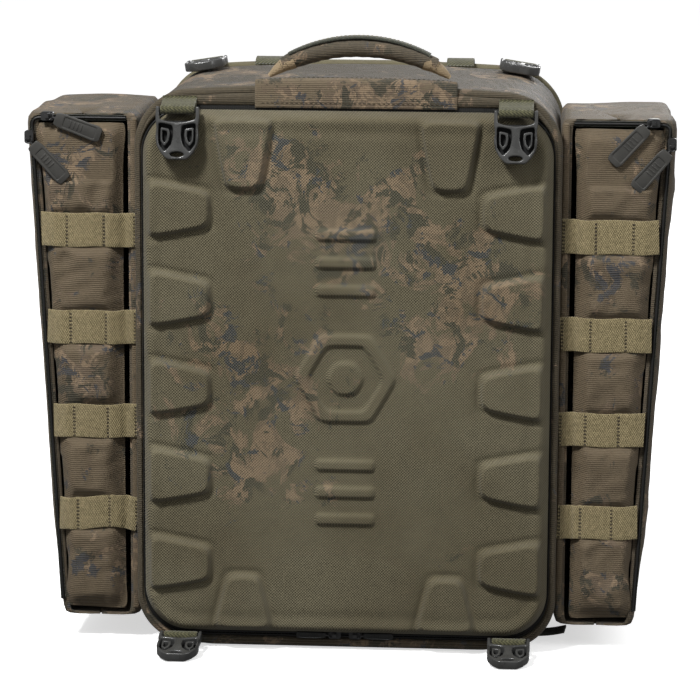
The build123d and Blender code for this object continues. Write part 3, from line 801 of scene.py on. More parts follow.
def lid_height(x, z):
    """How far the lid's face stands proud of the frame."""
    d = inside(x, z, *LID)
    h = LID_RISE * (1 - (1 - np.clip(d / 9.5, 0, 1)) ** 2.4)
    h -= 0.9 * np.exp(-((d - 17) / 5.0) ** 2)
    side_x = LID[0] - BLOCK_INSET
    blocks = []
    for k in range(5):
        zc = LID_MID - 10 + (k - 2) * BLOCK_STEP
        blocks.append(trapezoid(-side_x, zc, -90, 55, 52, 31))
        blocks.append(trapezoid(side_x, zc, 90, 55, 52, 31))
    for x0 in (-88, 88):
        blocks.append(trapezoid(x0, LID[2] - BLOCK_INSET, 180, 62, 54, 31))
        blocks.append(trapezoid(x0, LID[1] + BLOCK_INSET, 0, 50, 54, 29))
    for corners in blocks:
        e = convex(x, z, corners, 3.2)
        h += BLOCK_RISE * soft_step(e + 0.6, 4.4) - 1.1 * np.exp(-((e + 2.2) / 2.4) ** 2)
    # plain marks in the middle: a hexagon ring with a core, and three bars above and below
    e = convex(x, z, hexagon(46), 2.0)
    h += 3.0 * soft_step(e, 4.0) * (1 - soft_step(e - 9.5, 4.0))
    h += 3.0 * soft_step(convex(x, z, hexagon(19), 2.0), 4.5)
    for k in range(3):
        for zc in (LID_MID + 76 + 24 * k, LID_MID - 76 - 24 * k):
            h += 2.8 * soft_step(inside(x, z - zc, 27, -6.5, 6.5, 5), 4.0)
    p = np.stack([x, np.zeros_like(x), z], -1)
    return h + 0.25 * wander(p, 90, 8) * soft_step(d - 6, 10)


def moulded_lid():
    """The lid's face as a fine grid, its outer cells drawn to the outline, closed behind."""
    cell, eps = 1.3, 0.01
    xs = np.arange(-LID[0] - cell, LID[0] + 2 * cell, cell)
    zs = np.arange(LID[1] - cell, LID[2] + 2 * cell, cell)
    x, z = np.meshgrid(xs, zs, indexing="ij")
    d = inside(x, z, *LID)
    gx = (inside(x + eps, z, *LID) - inside(x - eps, z, *LID)) / (2 * eps)
    gz = (inside(x, z + eps, *LID) - inside(x, z - eps, *LID)) / (2 * eps)
    snap = d < cell * 0.45
    x = np.where(snap, x - gx * d, x)
    z = np.where(snap, z - gz * d, z)
    keep = d > -cell * 1.05
    h = lid_height(x, z)
    h[snap] = 0.0
    index = -np.ones(x.shape, int)
    index[keep] = np.arange(keep.sum())
    verts = np.stack([x[keep], FRONT - h[keep], z[keep]], 1)
    quad = np.stack([index[:-1, :-1], index[1:, :-1], index[1:, 1:], index[:-1, 1:]], -1)
    quad = quad.reshape(-1, 4)
    centre = (d[:-1, :-1] + d[1:, 1:] + d[1:, :-1] + d[:-1, 1:]).reshape(-1) / 4
    quad = quad[(quad >= 0).all(1) & (centre > -cell * 0.2)]
    face = make("lid_face", verts, [tuple(q) for q in quad.tolist()], EVA, weld=True)
    bm = bmesh.new()
    bm.from_mesh(face.data)
    rim = [e for e in bm.edges if e.is_boundary]
    made = bmesh.ops.extrude_edge_only(bm, edges=rim)["geom"]
    for v in [g for g in made if isinstance(g, bmesh.types.BMVert)]:
        v.co.y = (FRONT + 2.6) * MM
    bmesh.ops.holes_fill(bm, edges=[e for e in bm.edges if e.is_boundary], sides=0)
    bmesh.ops.recalc_face_normals(bm, faces=bm.faces)
    bm.to_mesh(face.data)
    bm.free()
    polygons = face.data.polygons
    polygons.foreach_set("use_smooth", [len(f.vertices) < 5 for f in polygons])
    return face


put(moulded_lid(), "lid", "eva_panel", "front_panel")
liner_line = [tuple(p) for p in loop(167.5, 24.5, 465.5, 31.5, count=160)]
put(plate("lid_lining", [liner_line], 1.5, 0.5, LINING, frontal(-116.55)), "lid",
    "inner_lining", "lid_liner")
net = plate("lid_net", [slab(139, 61, 259, 15, 6)], 1.8, 0.6, MESH, frontal(-114.9))
hem = strap("net_hem", resample([(-138, -114.2, 255), (138, -114.2, 255)], 60), 10, 2.2,
            (0, 0, 1), BINDING)
put(join("lid_net_pocket", [net, hem]), "lid", "mesh_pad", "lid_mesh_pocket")


# ---------------------------------------------------------------- side pockets
POCKET_LOW, POCKET_TOP = 30, 464
REACH_LOW, REACH_TOP = 72, 95              # how far a pocket stands out, low and high
MOUTH_X, MOUTH_Y = 190.5, -99.8            # inner edge and plane of the pocket's mouth
PLAN_POINTS = 90
PAD_BACK = -100.3                          # where the front pad meets its zip


def reach(z):
    return (REACH_LOW + (REACH_TOP - REACH_LOW) * (z - POCKET_LOW) / (POCKET_TOP - POCKET_LOW))


def pocket_plan(z):
    """The pocket's outline from above at height z, front inner edge to front outer edge."""
    out = HALF + reach(z)
    low = 6.0 * (1 - soft_step(z - POCKET_LOW, 85))
    pts = [(MOUTH_X, MOUTH_Y), (184, -99.6), (182.6, -95), (182.6, 54), (186, 59.4),
           (out - 9 - low, 59.0), (out - 1 - low, 54), (out + 2 - low, 24), (out + 3 - low, -20),
           (out + 2.6 - low, -60), (out + 1.6 - low, -86), (out - 1.0 - low * 0.4, -96.5),
           (out - 4.6, -100.4), (out - 8.5, MOUTH_Y)]
    return smooth_line(pts, PLAN_POINTS, 2)


def cup(side, seed):
    """Pocket body: floor, walls and top as one sheet, open at the front."""
    # share of the way from the mouth's middle to the outline, and height
    rows = [(0.03, 24.2), (0.3, 24), (0.6, 24), (0.85, 24.4), (0.94, 25.6), (0.98, 29.5),
            (0.995, 36)]
    rows += [(1, z) for z in np.linspace(44, 450, 52)]
    rows += [(0.995, 456), (0.98, 460.5), (0.94, 463.2)]
    rows += [(share, POCKET_TOP) for share in (0.85, 0.6, 0.3, 0.03)]
    pts = np.zeros((len(rows), PLAN_POINTS, 3))
    for i, (s, z) in enumerate(rows):
        plan = pocket_plan(min(max(z, POCKET_LOW), POCKET_TOP))
        pole = np.array([(MOUTH_X + plan[-1, 0]) / 2, MOUTH_Y])
        pts[i, :, :2] = pole + s * (plan - pole)
        pts[i, :, 2] = z
    x, y, z = (pts[:, :, k] for k in range(3))
    free = np.clip((x - 200) / 50, 0, 1) * np.clip((y + 97) / 40, 0, 1)
    folds = (4.2 * wander(pts, 110, seed)
             + 2.2 * wander(pts * np.array([1, 0.7, 1.5]), 48, seed + 1))
    x += (folds - 1.8) * free
    roof = np.clip((z - 455) / 8, 0, 1)
    spread = np.clip((y + 99) / 25, 0, 1) * np.clip((60 - y) / 15, 0, 1)
    z += roof * spread * (3.5 * wander(pts, 95, seed + 2) + 1.5)
    x[:] = np.where(x < 200, np.maximum(x, 182.5), x)
    x *= side
    return pts


def front_pad(side):
    """Closed pad of the pocket front, before it is swollen."""
    xs, zs = np.linspace(0, 1, 30), np.linspace(26.5, 462.2, 130)
    u, z = np.meshgrid(xs, zs, indexing="ij")
    out = HALF + reach(z) - 4.6
    x = 189.3 + u * (out - 189.3)
    edge = np.minimum(np.minimum(x - 189, out - x), np.minimum(z - 27, 462 - z))
    pts = np.stack([x, -102.6 - 4.0 * soft_step(edge, 11.0), z], -1)
    rear = np.stack([x, np.full_like(x, -97.0), z], -1)
    verts = np.concatenate([pts.reshape(-1, 3), rear.reshape(-1, 3)])
    nu, nv = u.shape
    n = nu * nv
    faces = grid(pts) + [tuple(n + v for v in f[::-1]) for f in grid(pts)]
    rim = [i * nv for i in range(nu)] + [(nu - 1) * nv + j for j in range(1, nv)]
    rim += [i * nv + nv - 1 for i in range(nu - 2, -1, -1)] + [j for j in range(nv - 2, 0, -1)]
    for a, b in zip(rim, rim[1:] + rim[:1]):
        faces.append((a, b, b + n, a + n))
    verts[:, 0] *= side
    return make("pad", verts, faces, CAMO, weld=True)


def settled_y(co, side, seed):
    """Presses the swollen pad under its webbing rows and adds folds, clear of the pulls."""
    x, y, z = co[:, 0] * side, co[:, 1], co[:, 2]
    press = np.zeros(len(co))
    for zc in ROWS_Z:
        press = np.maximum(press, 1 - soft_step(np.abs(z - zc) - 12, 12.0))
    inner = soft_step(x - 191.5, 19)
    outer = soft_step(HALF + reach(z) - 5 - x, 13)
    ends = soft_step(z - 28, 16) * soft_step(462 - z, 14)
    p = np.stack([x, np.zeros_like(x), z], 1)
    folds = 4.2 * wander(p * np.array([1, 1, 0.36]), 32, seed) + 1.3 * wander(p, 17, seed + 5)
    low = (3.0 * np.abs(wander(p * np.array([1, 1, 0.25]), 26, seed + 9))
           * soft_step(100 - z, 30))
    proud = np.maximum(-y + PAD_BACK, 0)
    near = soft_step(-y - 100.5, 2.0)
    full = proud * (0.18 + 0.82 * inner) * (0.4 + 0.6 * outer) * (0.4 + 0.6 * ends)
    full += (folds - low + 2.0) * (1 - press) * inner * outer * ends
    full = np.minimum(full, np.where(z > 408, 9.0, 13.5) * (1 - press) + 7.2 * press)
    return y + near * (PAD_BACK - np.maximum(full, 0.6) - y)


def row_end(z):
    return HALF + reach(z) - 6.4


def webbing_row(side, z, pucker, seed):
    """One sewn webbing row: it stands off between its stitch lines."""
    climb = (z - ROWS_Z[0]) / (ROWS_Z[-1] - ROWS_Z[0])
    seams_at = ((203 + 9 * climb, 230 + 14 * climb) if side > 0
                else (208 + 3 * climb, 236 + 7 * climb))
    stops = [196.0, *seams_at, row_end(z)]
    xs = np.linspace(183.4, stops[-1], 84)
    lift = np.zeros(84)
    for a, b in zip(stops, stops[1:]):
        t = np.clip((xs - a) / (b - a), 0, 1)
        lift += np.where((xs >= a) & (xs <= b), np.sin(math.pi * t) ** 0.7, 0)
    flat = np.interp(xs, [183, 187, 193, 199, 206, row_end(z) - 12, row_end(z)],
                     [-106.2, -106.4, -105.2, -106.8, -108.2, -108.2, -105.6])
    y = flat - 1.2 * lift
    zz = z + pucker * np.sin((xs - 193) / 11.0) + 0.4 * np.sin((xs + seed) / 7.0)
    width = 1 - 0.05 * lift * (1 if pucker else 0.3)
    pieces = [strap("row", np.stack([xs * side, y, zz], 1), 30, 1.5, (0, 0, 1), WEB_X, width)]
    for stop in (184.6, *stops[1:-1]):
        for dx in (-0.6, 0.6):
            k = np.argmin(np.abs(xs - stop - dx))
            line = [(side * (stop + dx), y[k] - 0.78, zz[k] + dz) for dz in (-14, 14)]
            pieces.append(stitches(line, (0, -1, 0), THREAD, 2.2, 0.9, 0.5))
    return pieces


PULL_LEAN = {"right": (43.0, 41.0), "left": (70.0, 43.0)}    # top pull and side pull
PIN_Y = -111.7
RING = 2.6                                                   # radius of a pull's wire ring
PULL_HEAD = -4.8                                             # top of a pull below its ring


def pull_piece(name, pin, side, lean, ring_lean, mat=RUBBER, length=42.0, wide=14.0):
    """Ribbed pull on a wire ring, hanging down and leaning outwards."""
    k, l = wide / 14.0, length / 42.0
    a, r = math.radians(lean), math.radians(ring_lean)
    basis = Matrix(((math.cos(a), math.sin(a), 0, 0), (0, 0, -1, 0),
                    (-math.sin(a), math.cos(a), 0, 0), (0, 0, 0, 1)))
    centre = Vector((pin[0] - RING * math.sin(r), pin[1], pin[2] - RING * math.cos(r)))
    place = Matrix.Translation(centre * MM) @ basis
    line = rounded([(-5.2 * k, PULL_HEAD), (5.2 * k, PULL_HEAD), (6.4 * k, -10),
                    (7 * k, PULL_HEAD - 38 * l), (5.4 * k, PULL_HEAD - 42 * l),
                    (-5.4 * k, PULL_HEAD - 42 * l), (-7 * k, PULL_HEAD - 38 * l),
                    (-6.4 * k, -10)], 1.6)
    window = rounded([(-4.2 * k, -13 * l), (4.2 * k, -13 * l), (4.9 * k, PULL_HEAD - 37 * l),
                      (-4.9 * k, PULL_HEAD - 37 * l)], 1.4)
    rim = [(x * 0.99, y) for x, y in line]
    parts = [plate("tab", [line], 2.0, 0.6, mat, place),
             plate("rim", [rim, window], 3.0, 0.55, mat, place)]
    for j in range(4):
        y = -18 * l - j * 3.4 * l
        parts.append(plate("rib", [slab(3.2 * k, y, y - 1.5, 0.5, 2)], 2.7, 0.35, mat, place))
    wire = np.array([(RING * math.cos(t), 0, RING * math.sin(t))
                     for t in np.linspace(0, 2 * math.pi, 28, endpoint=False)])
    parts.append(tube("wire", wire + np.array(centre), 0.6, METAL, closed=True, count=8))
    d = Vector((-math.sin(a), 0, -math.cos(a)))
    link = resample([centre + d * 2.4, centre + d * 6.5], 6)
    parts.append(tube("link", link, 1.25, METAL, count=8, flat=0.8))
    obj = join(name, parts)
    if side < 0:
        mirror_x(obj)
    return obj


POCKET_TEETH = 900
for name, side in SIDES:
    seed = 20 if side > 0 else 31
    flap = f"{name}_pocket_flap"
    shell_pts = cup(side, seed)
    shell = make(f"{name}_pocket_body", shell_pts, grid(shell_pts), CAMO_SHELL)
    modifier(shell, "SOLIDIFY", thickness=2.2 * MM, offset=float(side))
    put(shell, "bag", "camo_fabric", f"{name}_pocket_shell")
    edge = hull_box((182.4, -105.6, 29), (188.4, -99.2, 463), CAMO, f"{name}_pocket_edge", 2.2)
    if side < 0:
        mirror_x(edge)
    put(edge, "bag", "camo_fabric")

    pad = puff(front_pad(side), 4.0, 4.5)
    warp_y(pad, lambda co: settled_y(co, side, seed))
    put_pad(pad, f"{name}_pocket_pad", CAMO, 0.5, flap, "camo_fabric", f"{name}_pocket_front")

    rows = []
    for k, z in enumerate(ROWS_Z):
        rows += webbing_row(side, z, 1.8 if side < 0 and k == 0 else 0.0, 9 * k + seed)
    rows = join(f"{name}_pocket_rows", rows)
    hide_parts(f"{name}_pocket_webbing")
    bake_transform(rows)

    zip_line = smooth_line([(192, 0, 462.5), (262, 0, 462.5), (273.4, 0, 461.5),
                            (272.9, 0, 448), (250.7, 0, 36)], POCKET_TEETH, 3)
    zip_line[:, 0] *= side
    tape, coil = zip_line.copy(), zip_line.copy()
    tape[:, 1], coil[:, 1] = -101.2, -102.5
    parts = [strap("tape", resample(tape, 220), 1.1, 4.4, (0, 1, 0), BINDING),
             tube("coil", coil, 1.15, COIL, count=8, scale=teeth(POCKET_TEETH, 0.2))]
    put(join(f"{name}_pocket_zipper", parts), flap, "zip_coil", f"{name}_pocket_zip")

    top_lean, side_lean = PULL_LEAN[name]
    for piece, node, pin, *how in (
            (f"{name}_top_tab", f"{name}_top_pull", (259, PIN_Y, 464.1), top_lean, 90),
            (f"{name}_side_tab", f"{name}_side_pull", (275.1, PIN_Y, 446), side_lean, 0),
            (f"{name}_main_tab", f"main_{name}_pull", (9, -124.9, 14.25), -90, -90, COIL,
             26.0, 6.0)):
        put(pull_piece(piece, pin, side, *how), node, "pull_rubber", node)


# ---------------------------------------------------------------- buckles and tabs
WINDOW_MID = (10.9, -22.6)


def buckle_piece(name, pos, hang, roll):
    """Socket half of a side-release buckle: a skeleton frame over a recessed body, the body
    near-black as painted shade for the cavity seen through the windows.
    """
    place = shift_to(*pos) @ turned(roll, "Y") @ turned(-hang, "X") @ FRONTAL
    half = [(18.4, 2.3), (18.5, -9), (17.6, -16), (18.4, -24), (17.2, -31), (13, -38), (8, -42.6)]
    smile = [(-15.5, 2.3), (-15.5, -8.2), (-8, -10.4), (0, -11.2), (8, -10.4), (15.5, -8.2),
             (15.5, 2.3)]
    leaf = [(15.8, -11.8), (10.2, -12.4), (3.9, -13.9), (3.2, -22), (5.0, -30), (10.6, -36.0),
            (15.6, -29.5), (16.0, -21)]
    hoop = [rounded(mirrored(half) + smile, 2.0), rounded(leaf, 2.0),
            rounded([(-x, y) for x, y in leaf[::-1]], 2.0), oval(-38.2, 6.0, 2.2)]
    core = rounded(mirrored([(17.2, -9.5), (16.4, -16), (17.0, -24), (15.8, -31), (12, -36.8),
                             (7.4, -41)]), 2.0)
    # The hoop is the lifted grey plastic (partly painted highlight); the core under it is painted
    # shade
    parts = [plate("hoop", hoop, 7.8, 1.1, BLACK, place),
             plate("core", [core, oval(-38.2, 5.4, 1.8)], 1.4, 0.4, CORE_SHADE, place, -2.4)]
    mx, my = WINDOW_MID
    for s in (1, -1):
        lens, hole = ([(s * (mx + (x - mx) * kx), my + (y - my) * ky) for x, y in leaf][::s]
                      for kx, ky in ((0.62, 0.66), (0.34, 0.44)))
        parts.append(plate("lens", [rounded(lens, 1.2), rounded(hole, 1.0)], 6.0, 0.6, BLACK,
                           place))
    spine = rounded(mirrored([(2.6, -12), (1.9, -22), (3.2, -33.5)]), 1.0)
    parts.append(plate("spine", [spine], 8.0, 0.9, BLACK, place))
    rod = tube("bar", resample([(-17, 0, 0), (17, 0, 0)], 8), 1.95, BLACK, count=14)
    rod.data.transform(place)
    return join(name, parts + [rod])


def tab_piece(side, pos, roll, lead, tail):
    """Webbing tab: in along lead, round the bar and back along tail, as (Y, Z) from the bar."""
    round_bar = [(3.15 * math.cos(a), 3.15 * math.sin(a))
                 for a in np.radians(np.linspace(62, 300, 26))]
    path = smooth_line(at_x(np.array(lead + round_bar + tail), 0.0), 90, 2)
    obj = strap("tab", path, 29.4, 1.5, (1, 0, 0), WEB_Y)
    obj.data.transform(shift_to(side * pos[0], pos[1], pos[2]) @ turned(side * roll, "Y"))
    return obj


# where each pair hangs, how far it leans and rolls, and its tab's way in and out
BUCKLES = {
    "front_top": ((TAB_X, -136.5, 474), 10, 0, [(15.6, 10.2), (15.2, 7.6), (9, 5.2), (4, 4.0)],
                  [(4, -1.6), (9, 2.2), (15.0, 4.6)]),
    "front_bottom": ((TAB_X, -132, 13), 78.5, 0, [(11.2, -3.6), (8, -1.6), (4.2, 1.6)],
                     [(5, -5.0), (11.2, -7.0)]),
    "rear_top": ((TAB_X, 92, crown(TAB_X) + 4.9), 90, 9,
                 [(22, -1.9), (12, -2.1), (8, -1.5), (5.4, 0.4), (3.7, 2.0)],
                 [(4, -3.0), (10, -3.3), (22, -3.5)])}
for name, side in SIDES:
    for kind, (pos, hang, roll, lead, tail) in BUCKLES.items():
        node = f"{kind}_{name}_buckle"
        where = (side * pos[0], pos[1], pos[2])
        put(buckle_piece(f"{kind}_{name}_socket", where, hang, side * roll), node,
            "buckle_plastic", node)
for kind, (pos, hang, roll, lead, tail) in BUCKLES.items():
    put(join(f"{kind}_webbing", [tab_piece(s, pos, roll, lead, tail) for _, s in SIDES]),
        "bag", "webbing_olive", f"{kind}_tabs")


# ---------------------------------------------------------------- carry handle
HANDLE_X, HANDLE_Y = 7.0, -75.0
FOOT = crown(57) + 1.2
AXIS_Z = FOOT + 2.3
ARCH_POINTS = 90


def arch(half, ends, top):
    """Circular arch in XZ at the handle's place."""
    rise = top - ends
    r = (half ** 2 + rise ** 2) / (2 * rise)
    a = math.asin(half / r)
    t = np.linspace(-a, a, ARCH_POINTS)
    return np.stack([HANDLE_X + r * np.sin(t), np.full(ARCH_POINTS, HANDLE_Y),
                     top - r + r * np.cos(t)], 1)


share = np.linspace(-1, 1, ARCH_POINTS)
grip = tube("handle_sleeve", arch(66, AXIS_Z + 11, FOOT + 28), 8.0, CAMO_GRIP, count=28,
            flat=0.97, scale=1 - 0.22 * np.abs(share) ** 6 + 0.02 * np.sin(share * 40))
warp(grip, lambda co: co + np.stack(
    [0 * co[:, 0], 0.35 * wander(co, 16, 3), 0.35 * wander(co, 14, 6)], 1))
put(grip, "handle", "camo_fabric", "handle_grip")
spine_line = arch(61, AXIS_Z + 20.0, FOOT + 28 + 9.3)
rows = [strap("spine", spine_line, 12.5, 3.0, (0, 1, 0), BINDING)]
for dy in (-4.6, 4.6):
    rows.append(stitches(spine_line + np.array([0, dy, 1.5]), (0, 0, 1), PALE_THREAD, 2.4, 1.4,
                         0.3))
put(join("handle_binding", rows), "handle", "binding", "handle_spine")

EAR_R, EAR_POINTS = 7.6, 30
ears = []
for s in (-1, 1):
    line = smooth_line([(HANDLE_X + s * x, HANDLE_Y, AXIS_Z + z)
                        for x, z in ((56, 14.4), (63, 12.0), (71, 6.5), (78, 1.0))],
                       EAR_POINTS, 2)
    size = np.interp(np.linspace(0, 1, EAR_POINTS), [0, 0.2, 0.7, 1], [1.0, 0.96, 0.6, 0.26])
    ears.append(tube("ear", line, EAR_R, TAN, count=24, flat=0.92, scale=size))
    for k in (0.3, 0.45):
        i = int(k * (EAR_POINTS - 1))
        up = np.array([s * math.sin(0.6), 0, math.cos(0.6)])
        r = EAR_R * size[i] + 0.1
        around = [line[i] + up * r * math.sin(t) + np.array([0, -1, 0]) * r * math.cos(t)
                  for t in np.linspace(-1.2, 1.6, 20)]
        ears.append(stitches(around, (0, -1, 0.3), THREAD, 1.6, 0.9, 0.3))
put(join("handle_ends_cloth", ears), "handle", "handle_end", "handle_ends")

# patch under the handle, wrapped over the front edge
PATCH_R = 14                               # radius of its rear corners
PATCH_END = 474.8                          # height of its lower front edge
PATCH_DROP = 19
patch = np.zeros((90, 60, 3))
for i, u in enumerate(np.linspace(-1, 1, 90)):
    edge = 1 - abs(u)
    corner = PATCH_R - math.sqrt(max(0.0, PATCH_R ** 2 - max(0.0, PATCH_R - edge * 86) ** 2))
    line = smooth_line([(-60 - corner, 0.9), (-85, 1.0), (-108, 1.0), (-112.6, 1.6),
                        (-114.2, 4.2), (-117, 6.3), (-119.8, 5.0), (-121.0, 1.8), (-121.3, -4),
                        (-121.2, -12), (-121.0, -PATCH_DROP)], 60, 2)
    y, z = line[:, 0], line[:, 1]
    x = HANDLE_X + u * np.interp(y, [-121.5, -112, -60], [86, 85, 84])
    drop = np.clip(-z / PATCH_DROP, 0, 1)
    patch[i, :, 0], patch[i, :, 1] = x, y
    patch[i, :, 2] = np.where(z > 0, crown(np.clip(x, -HALF, HALF)) + z,
                              crown(x) + z - drop * (crown(x) - PATCH_DROP - PATCH_END))
patch_cloth = make("handle_patch_cloth", patch, grid(patch), CAMO_PATCH)
modifier(patch_cloth, "SOLIDIFY", thickness=1.1 * MM, offset=0)
seams = [patch_cloth]
for line, lift, normal in ((patch[3], (0, -0.4, 0.7), (0, -0.5, 0.85)),
                           (patch[86], (0, -0.4, 0.7), (0, -0.5, 0.85)),
                           (patch[3:87, 3], (0, 0, 0.7), (0, 0, 1)),
                           (patch[3:87, 56], (0, -0.7, 0), (0, -1, 0))):
    seams.append(stitches(line + np.array(lift), normal))
put(join("handle_patch_sewn", seams), "bag", "camo_fabric", "handle_patch")


# ---------------------------------------------------------------- back harness
def arc3(a, b, c, count):
    """Points on the circle through three (Y, Z) points."""
    m = np.array([[2 * p[0], 2 * p[1], 1] for p in (a, b, c)])
    cy, cz, rest = np.linalg.solve(m, [p[0] ** 2 + p[1] ** 2 for p in (a, b, c)])
    r = math.sqrt(rest + cy ** 2 + cz ** 2)
    t0, tm, t1 = (math.atan2(p[1] - cz, p[0] - cy) for p in (a, b, c))
    if not min(t0, t1) <= tm <= max(t0, t1):
        t1 += 2 * math.pi if t1 < t0 else -2 * math.pi
    t = np.linspace(t0, t1, count)
    return np.stack([cy + r * np.cos(t), cz + r * np.sin(t)], 1)


PAD_FACE, PAD_FRONT, PAD_LIMIT = 120.3, 120.1, 133     # back pads: as made, and after swelling
PAD_REAR = 129.5
CHANNELS_Z = (240, 326)                                # sewn channels across the back pads
STRAP_ARC = arc3((122, 472), (163, 330), (141, 190), 120)


def channelled(co):
    dips = sum(np.exp(-((co[:, 2] - z) / 5) ** 2) for z in CHANNELS_Z)
    return np.clip(co[:, 1] - (co[:, 1] > 126) * 2.4 * dips, PAD_FRONT, PAD_LIMIT)


for name, side in SIDES:
    line = at_x(STRAP_ARC, side * STRAP_X)[3:]
    body = strap("strap_body", line, 58, 10, (1, 0, 0), MESH,
                 1 - 0.06 * np.cos(np.linspace(0, math.pi, len(line))) ** 2)
    edges = [tube("edge", line + np.array([dx, 0, 0]), 2.6, BINDING, count=10)
             for dx in (-28.5, 28.5)]
    out = np.cross(unit(np.gradient(line, axis=0)), (1, 0, 0))
    out *= np.sign(out[:, 1:2])
    cover = strap("cover", line + out * 5.2, STRAP_W, STRAP_T, (1, 0, 0), WEB_Z)
    seam = [stitches(line + out * 6.1 + np.array([dx, 0, 0]), out, PALE_THREAD)
            for dx in (-10.5, 10.5)]
    obj = join(f"{name}_shoulder_pad", [body, cover] + edges + seam)
    warp_y(obj, lambda co: np.maximum(co[:, 1], 120.2))
    put(obj, "bag", "mesh_pad", f"{name}_shoulder_strap")

    pad = hull_box((21.5, PAD_FACE, 150.5), (94.5, PAD_REAR, 413.5), MESH, "back_pad", 4.5)
    if side < 0:
        mirror_x(pad)
    pad = puff(pad, 3.0, 6.0)
    warp_y(pad, channelled)
    put_pad(pad, f"{name}_back_cushion", MESH, 0.7, "bag", "mesh_pad",
            *(["back_pads"] if side > 0 else []))

lumbar = puff(hull_box((-69, PAD_FACE, 31), (69, PAD_REAR, 113), MESH, "lumbar", 4.5), 3.0, 6.0)
warp_y(lumbar, lambda co: np.clip(co[:, 1], PAD_FRONT, PAD_LIMIT))
put_pad(lumbar, "lumbar_cushion", MESH, 0.7, "bag", "mesh_pad", "lumbar_pad")

end, way = STRAP_ARC[-1], STRAP_ARC[-1] - STRAP_ARC[-2]
way = way / np.linalg.norm(way)
low_line = smooth_line([tuple(end + way * 4), (BACK + 9, 100), (BACK + 6, 60), (BACK + 1.2, 42),
                        (BACK + 1.0, 30.5)], 120, 2)
lift_line = arc3((102, crown(75) - 1.0), (120, crown(88) + 5), (141, 458), 70)


def strap_pair(name, line, mat):
    return join(name, [strap("s", at_x(line, s * STRAP_X), STRAP_W, STRAP_T, (1, 0, 0), mat)
                       for _, s in SIDES])


put(strap_pair("lower_straps", low_line, WEB_Z), "bag", "webbing_olive", "lower_webbing")
locks = []
mid, tilt = end + way * 5, math.atan2(way[0], -way[1])
for _, s in SIDES:
    outlines = [slab(16, -5, 5, 2), slab(12.8, 1.2, 3.2, 0.6, 2), slab(12.8, -3.2, -1.2, 0.6, 2)]
    place = shift_to(s * STRAP_X, mid[0], mid[1]) @ Matrix.Rotation(tilt, 4, "X") @ FRONTAL
    locks.append(plate("lock", outlines, 6.6, 1.0, BLACK, place))
put(join("strap_adjusters", locks), "bag", "buckle_plastic", "ladder_locks")
put(strap_pair("lifter_straps", lift_line, WEB_Y), "bag", "webbing_olive", "load_lifters")
grab_line = arc3((120.6, 476), (136.4, 468), (120.6, 460), 50)
put(strap("hang_loop", at_x(grab_line, 0), 69, 1.7, (1, 0, 0), WEB_X), "bag", "webbing_olive",
    "grab_loop")

for name, body in (("right", "sternum_clip"), ("left", "bag")):
    (x0, y0, _), (x1, y1, _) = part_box(f"{name}_sternum_webbing")
    y = (y0 + y1) / 2 * 1000
    line = resample([(x0 * 1000, y, CHEST_Z), (x1 * 1000, y, CHEST_Z)], 40)
    put(strap(f"{name}_chest_strap", line, 20, 1.7, (0, 0, 1), WEB_X), body, "webbing_olive",
        f"{name}_sternum_webbing")

# small dark strap end that shows beside the base
tail_line = smooth_line([(150, -60, 3.0), (170, -60, 3.4), (182, -61, 5), (192, -62, 7.5)], 24, 2)
put(strap("side_strap_end", tail_line, 22, 1.8, (0, 1, 0), BINDING), "bag", "binding")

# CAD nodes that are shown as they are
FINISHES = {"slider": METAL, "sternum_catch": BLACK, "sternum_prong": BLACK, "base_panel": BASE,
            "frame_sheet": BLACK}
for node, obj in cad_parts.items():
    for key, mat in FINISHES.items():
        if key in node and obj.type == "MESH":
            for s in obj.material_slots:
                s.link = "OBJECT"
                s.material = mat
            if not obj.material_slots:
                obj.data.materials.append(mat)


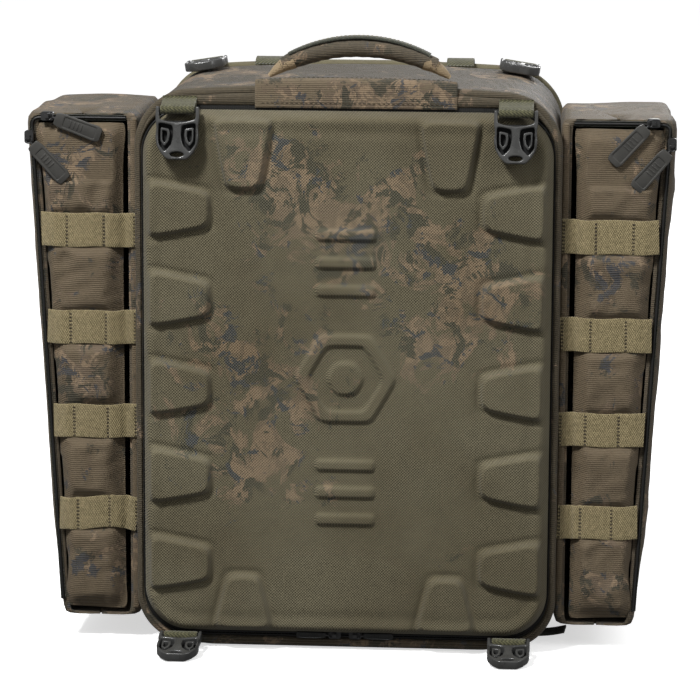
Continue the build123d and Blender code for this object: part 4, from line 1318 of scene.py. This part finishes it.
# ---------------------------------------------------------------- floor, light, camera
WHITE = (1, 1, 1, 1)
FLOOR_HALF = 30000
paper = Mat("floor", 0.9, 0.0)
feed(paper.bsdf, {"Base Color": (0.9, 0.9, 0.9, 1), "Emission Color": WHITE,
                  "Emission Strength": 0.6})
floor = make("floor", [(x * FLOOR_HALF, y * FLOOR_HALF, 0)
                       for x, y in ((-1, -1), (1, -1), (1, 1), (-1, 1))], [(0, 1, 2, 3)],
             paper.mat)
floor.visible_diffuse = False
floor.visible_glossy = False

scene = bpy.context.scene
world = bpy.data.worlds.new("studio")
scene.world = world
world.use_nodes = True
nodes = world.node_tree.nodes
place, split, ramp = (nodes.new("ShaderNode" + kind)
                      for kind in ("TexCoord", "SeparateXYZ", "MapRange"))
feed(split, {0: place.outputs["Generated"]})
feed(ramp, {"From Min": -0.5, "From Max": 0.8, "To Min": 0.15, "To Max": 0.48,
            "Value": split.outputs[2]})
feed(nodes["Background"], {"Color": WHITE, "Strength": ramp.outputs[0]})
scene.view_settings.view_transform = "Standard"


def facing(direction):
    """Rotation that turns a light or a camera to look along a direction."""
    return direction.to_track_quat("-Z", "Y")


# position and aim in metres, diameter, power
for name, pos, aim, size, power in (("key", (-1.0, -1.6, 2.5), (0, 0, 0.25), 0.55, 100),
                                    ("side", (2.2, -1.2, 1.5), (0, 0, 0.25), 1.2, 20),
                                    ("back", (0.8, 2.6, 1.3), (0, 0, 0.3), 1.2, 24)):
    data = bpy.data.lights.new(name, "AREA")
    data.shape = "DISK"
    data.size = size
    data.energy = power
    lamp = linked(name, data)
    lamp.location = pos
    lamp.rotation_euler = facing(Vector(aim) - Vector(pos)).to_euler()

CAMERA_AIM, CAMERA_AWAY = Vector((0.003, -0.12, 0.2667)), 2.69
AZIMUTH, ELEVATION, ROLL = 3.8, 10.3, 0.3
camera = linked("camera", bpy.data.cameras.new("camera"))
camera.data.sensor_width = 36
camera.data.lens = 160.9
camera.data.clip_end = 100
azimuth, elevation = math.radians(AZIMUTH), math.radians(ELEVATION)
towards = Vector((math.sin(azimuth) * math.cos(elevation),
                  -math.cos(azimuth) * math.cos(elevation), math.sin(elevation)))
camera.matrix_world = (Matrix.Translation(CAMERA_AIM + towards * CAMERA_AWAY)
                       @ facing(-towards).to_matrix().to_4x4() @ turned(ROLL, "Z"))
scene.camera = camera
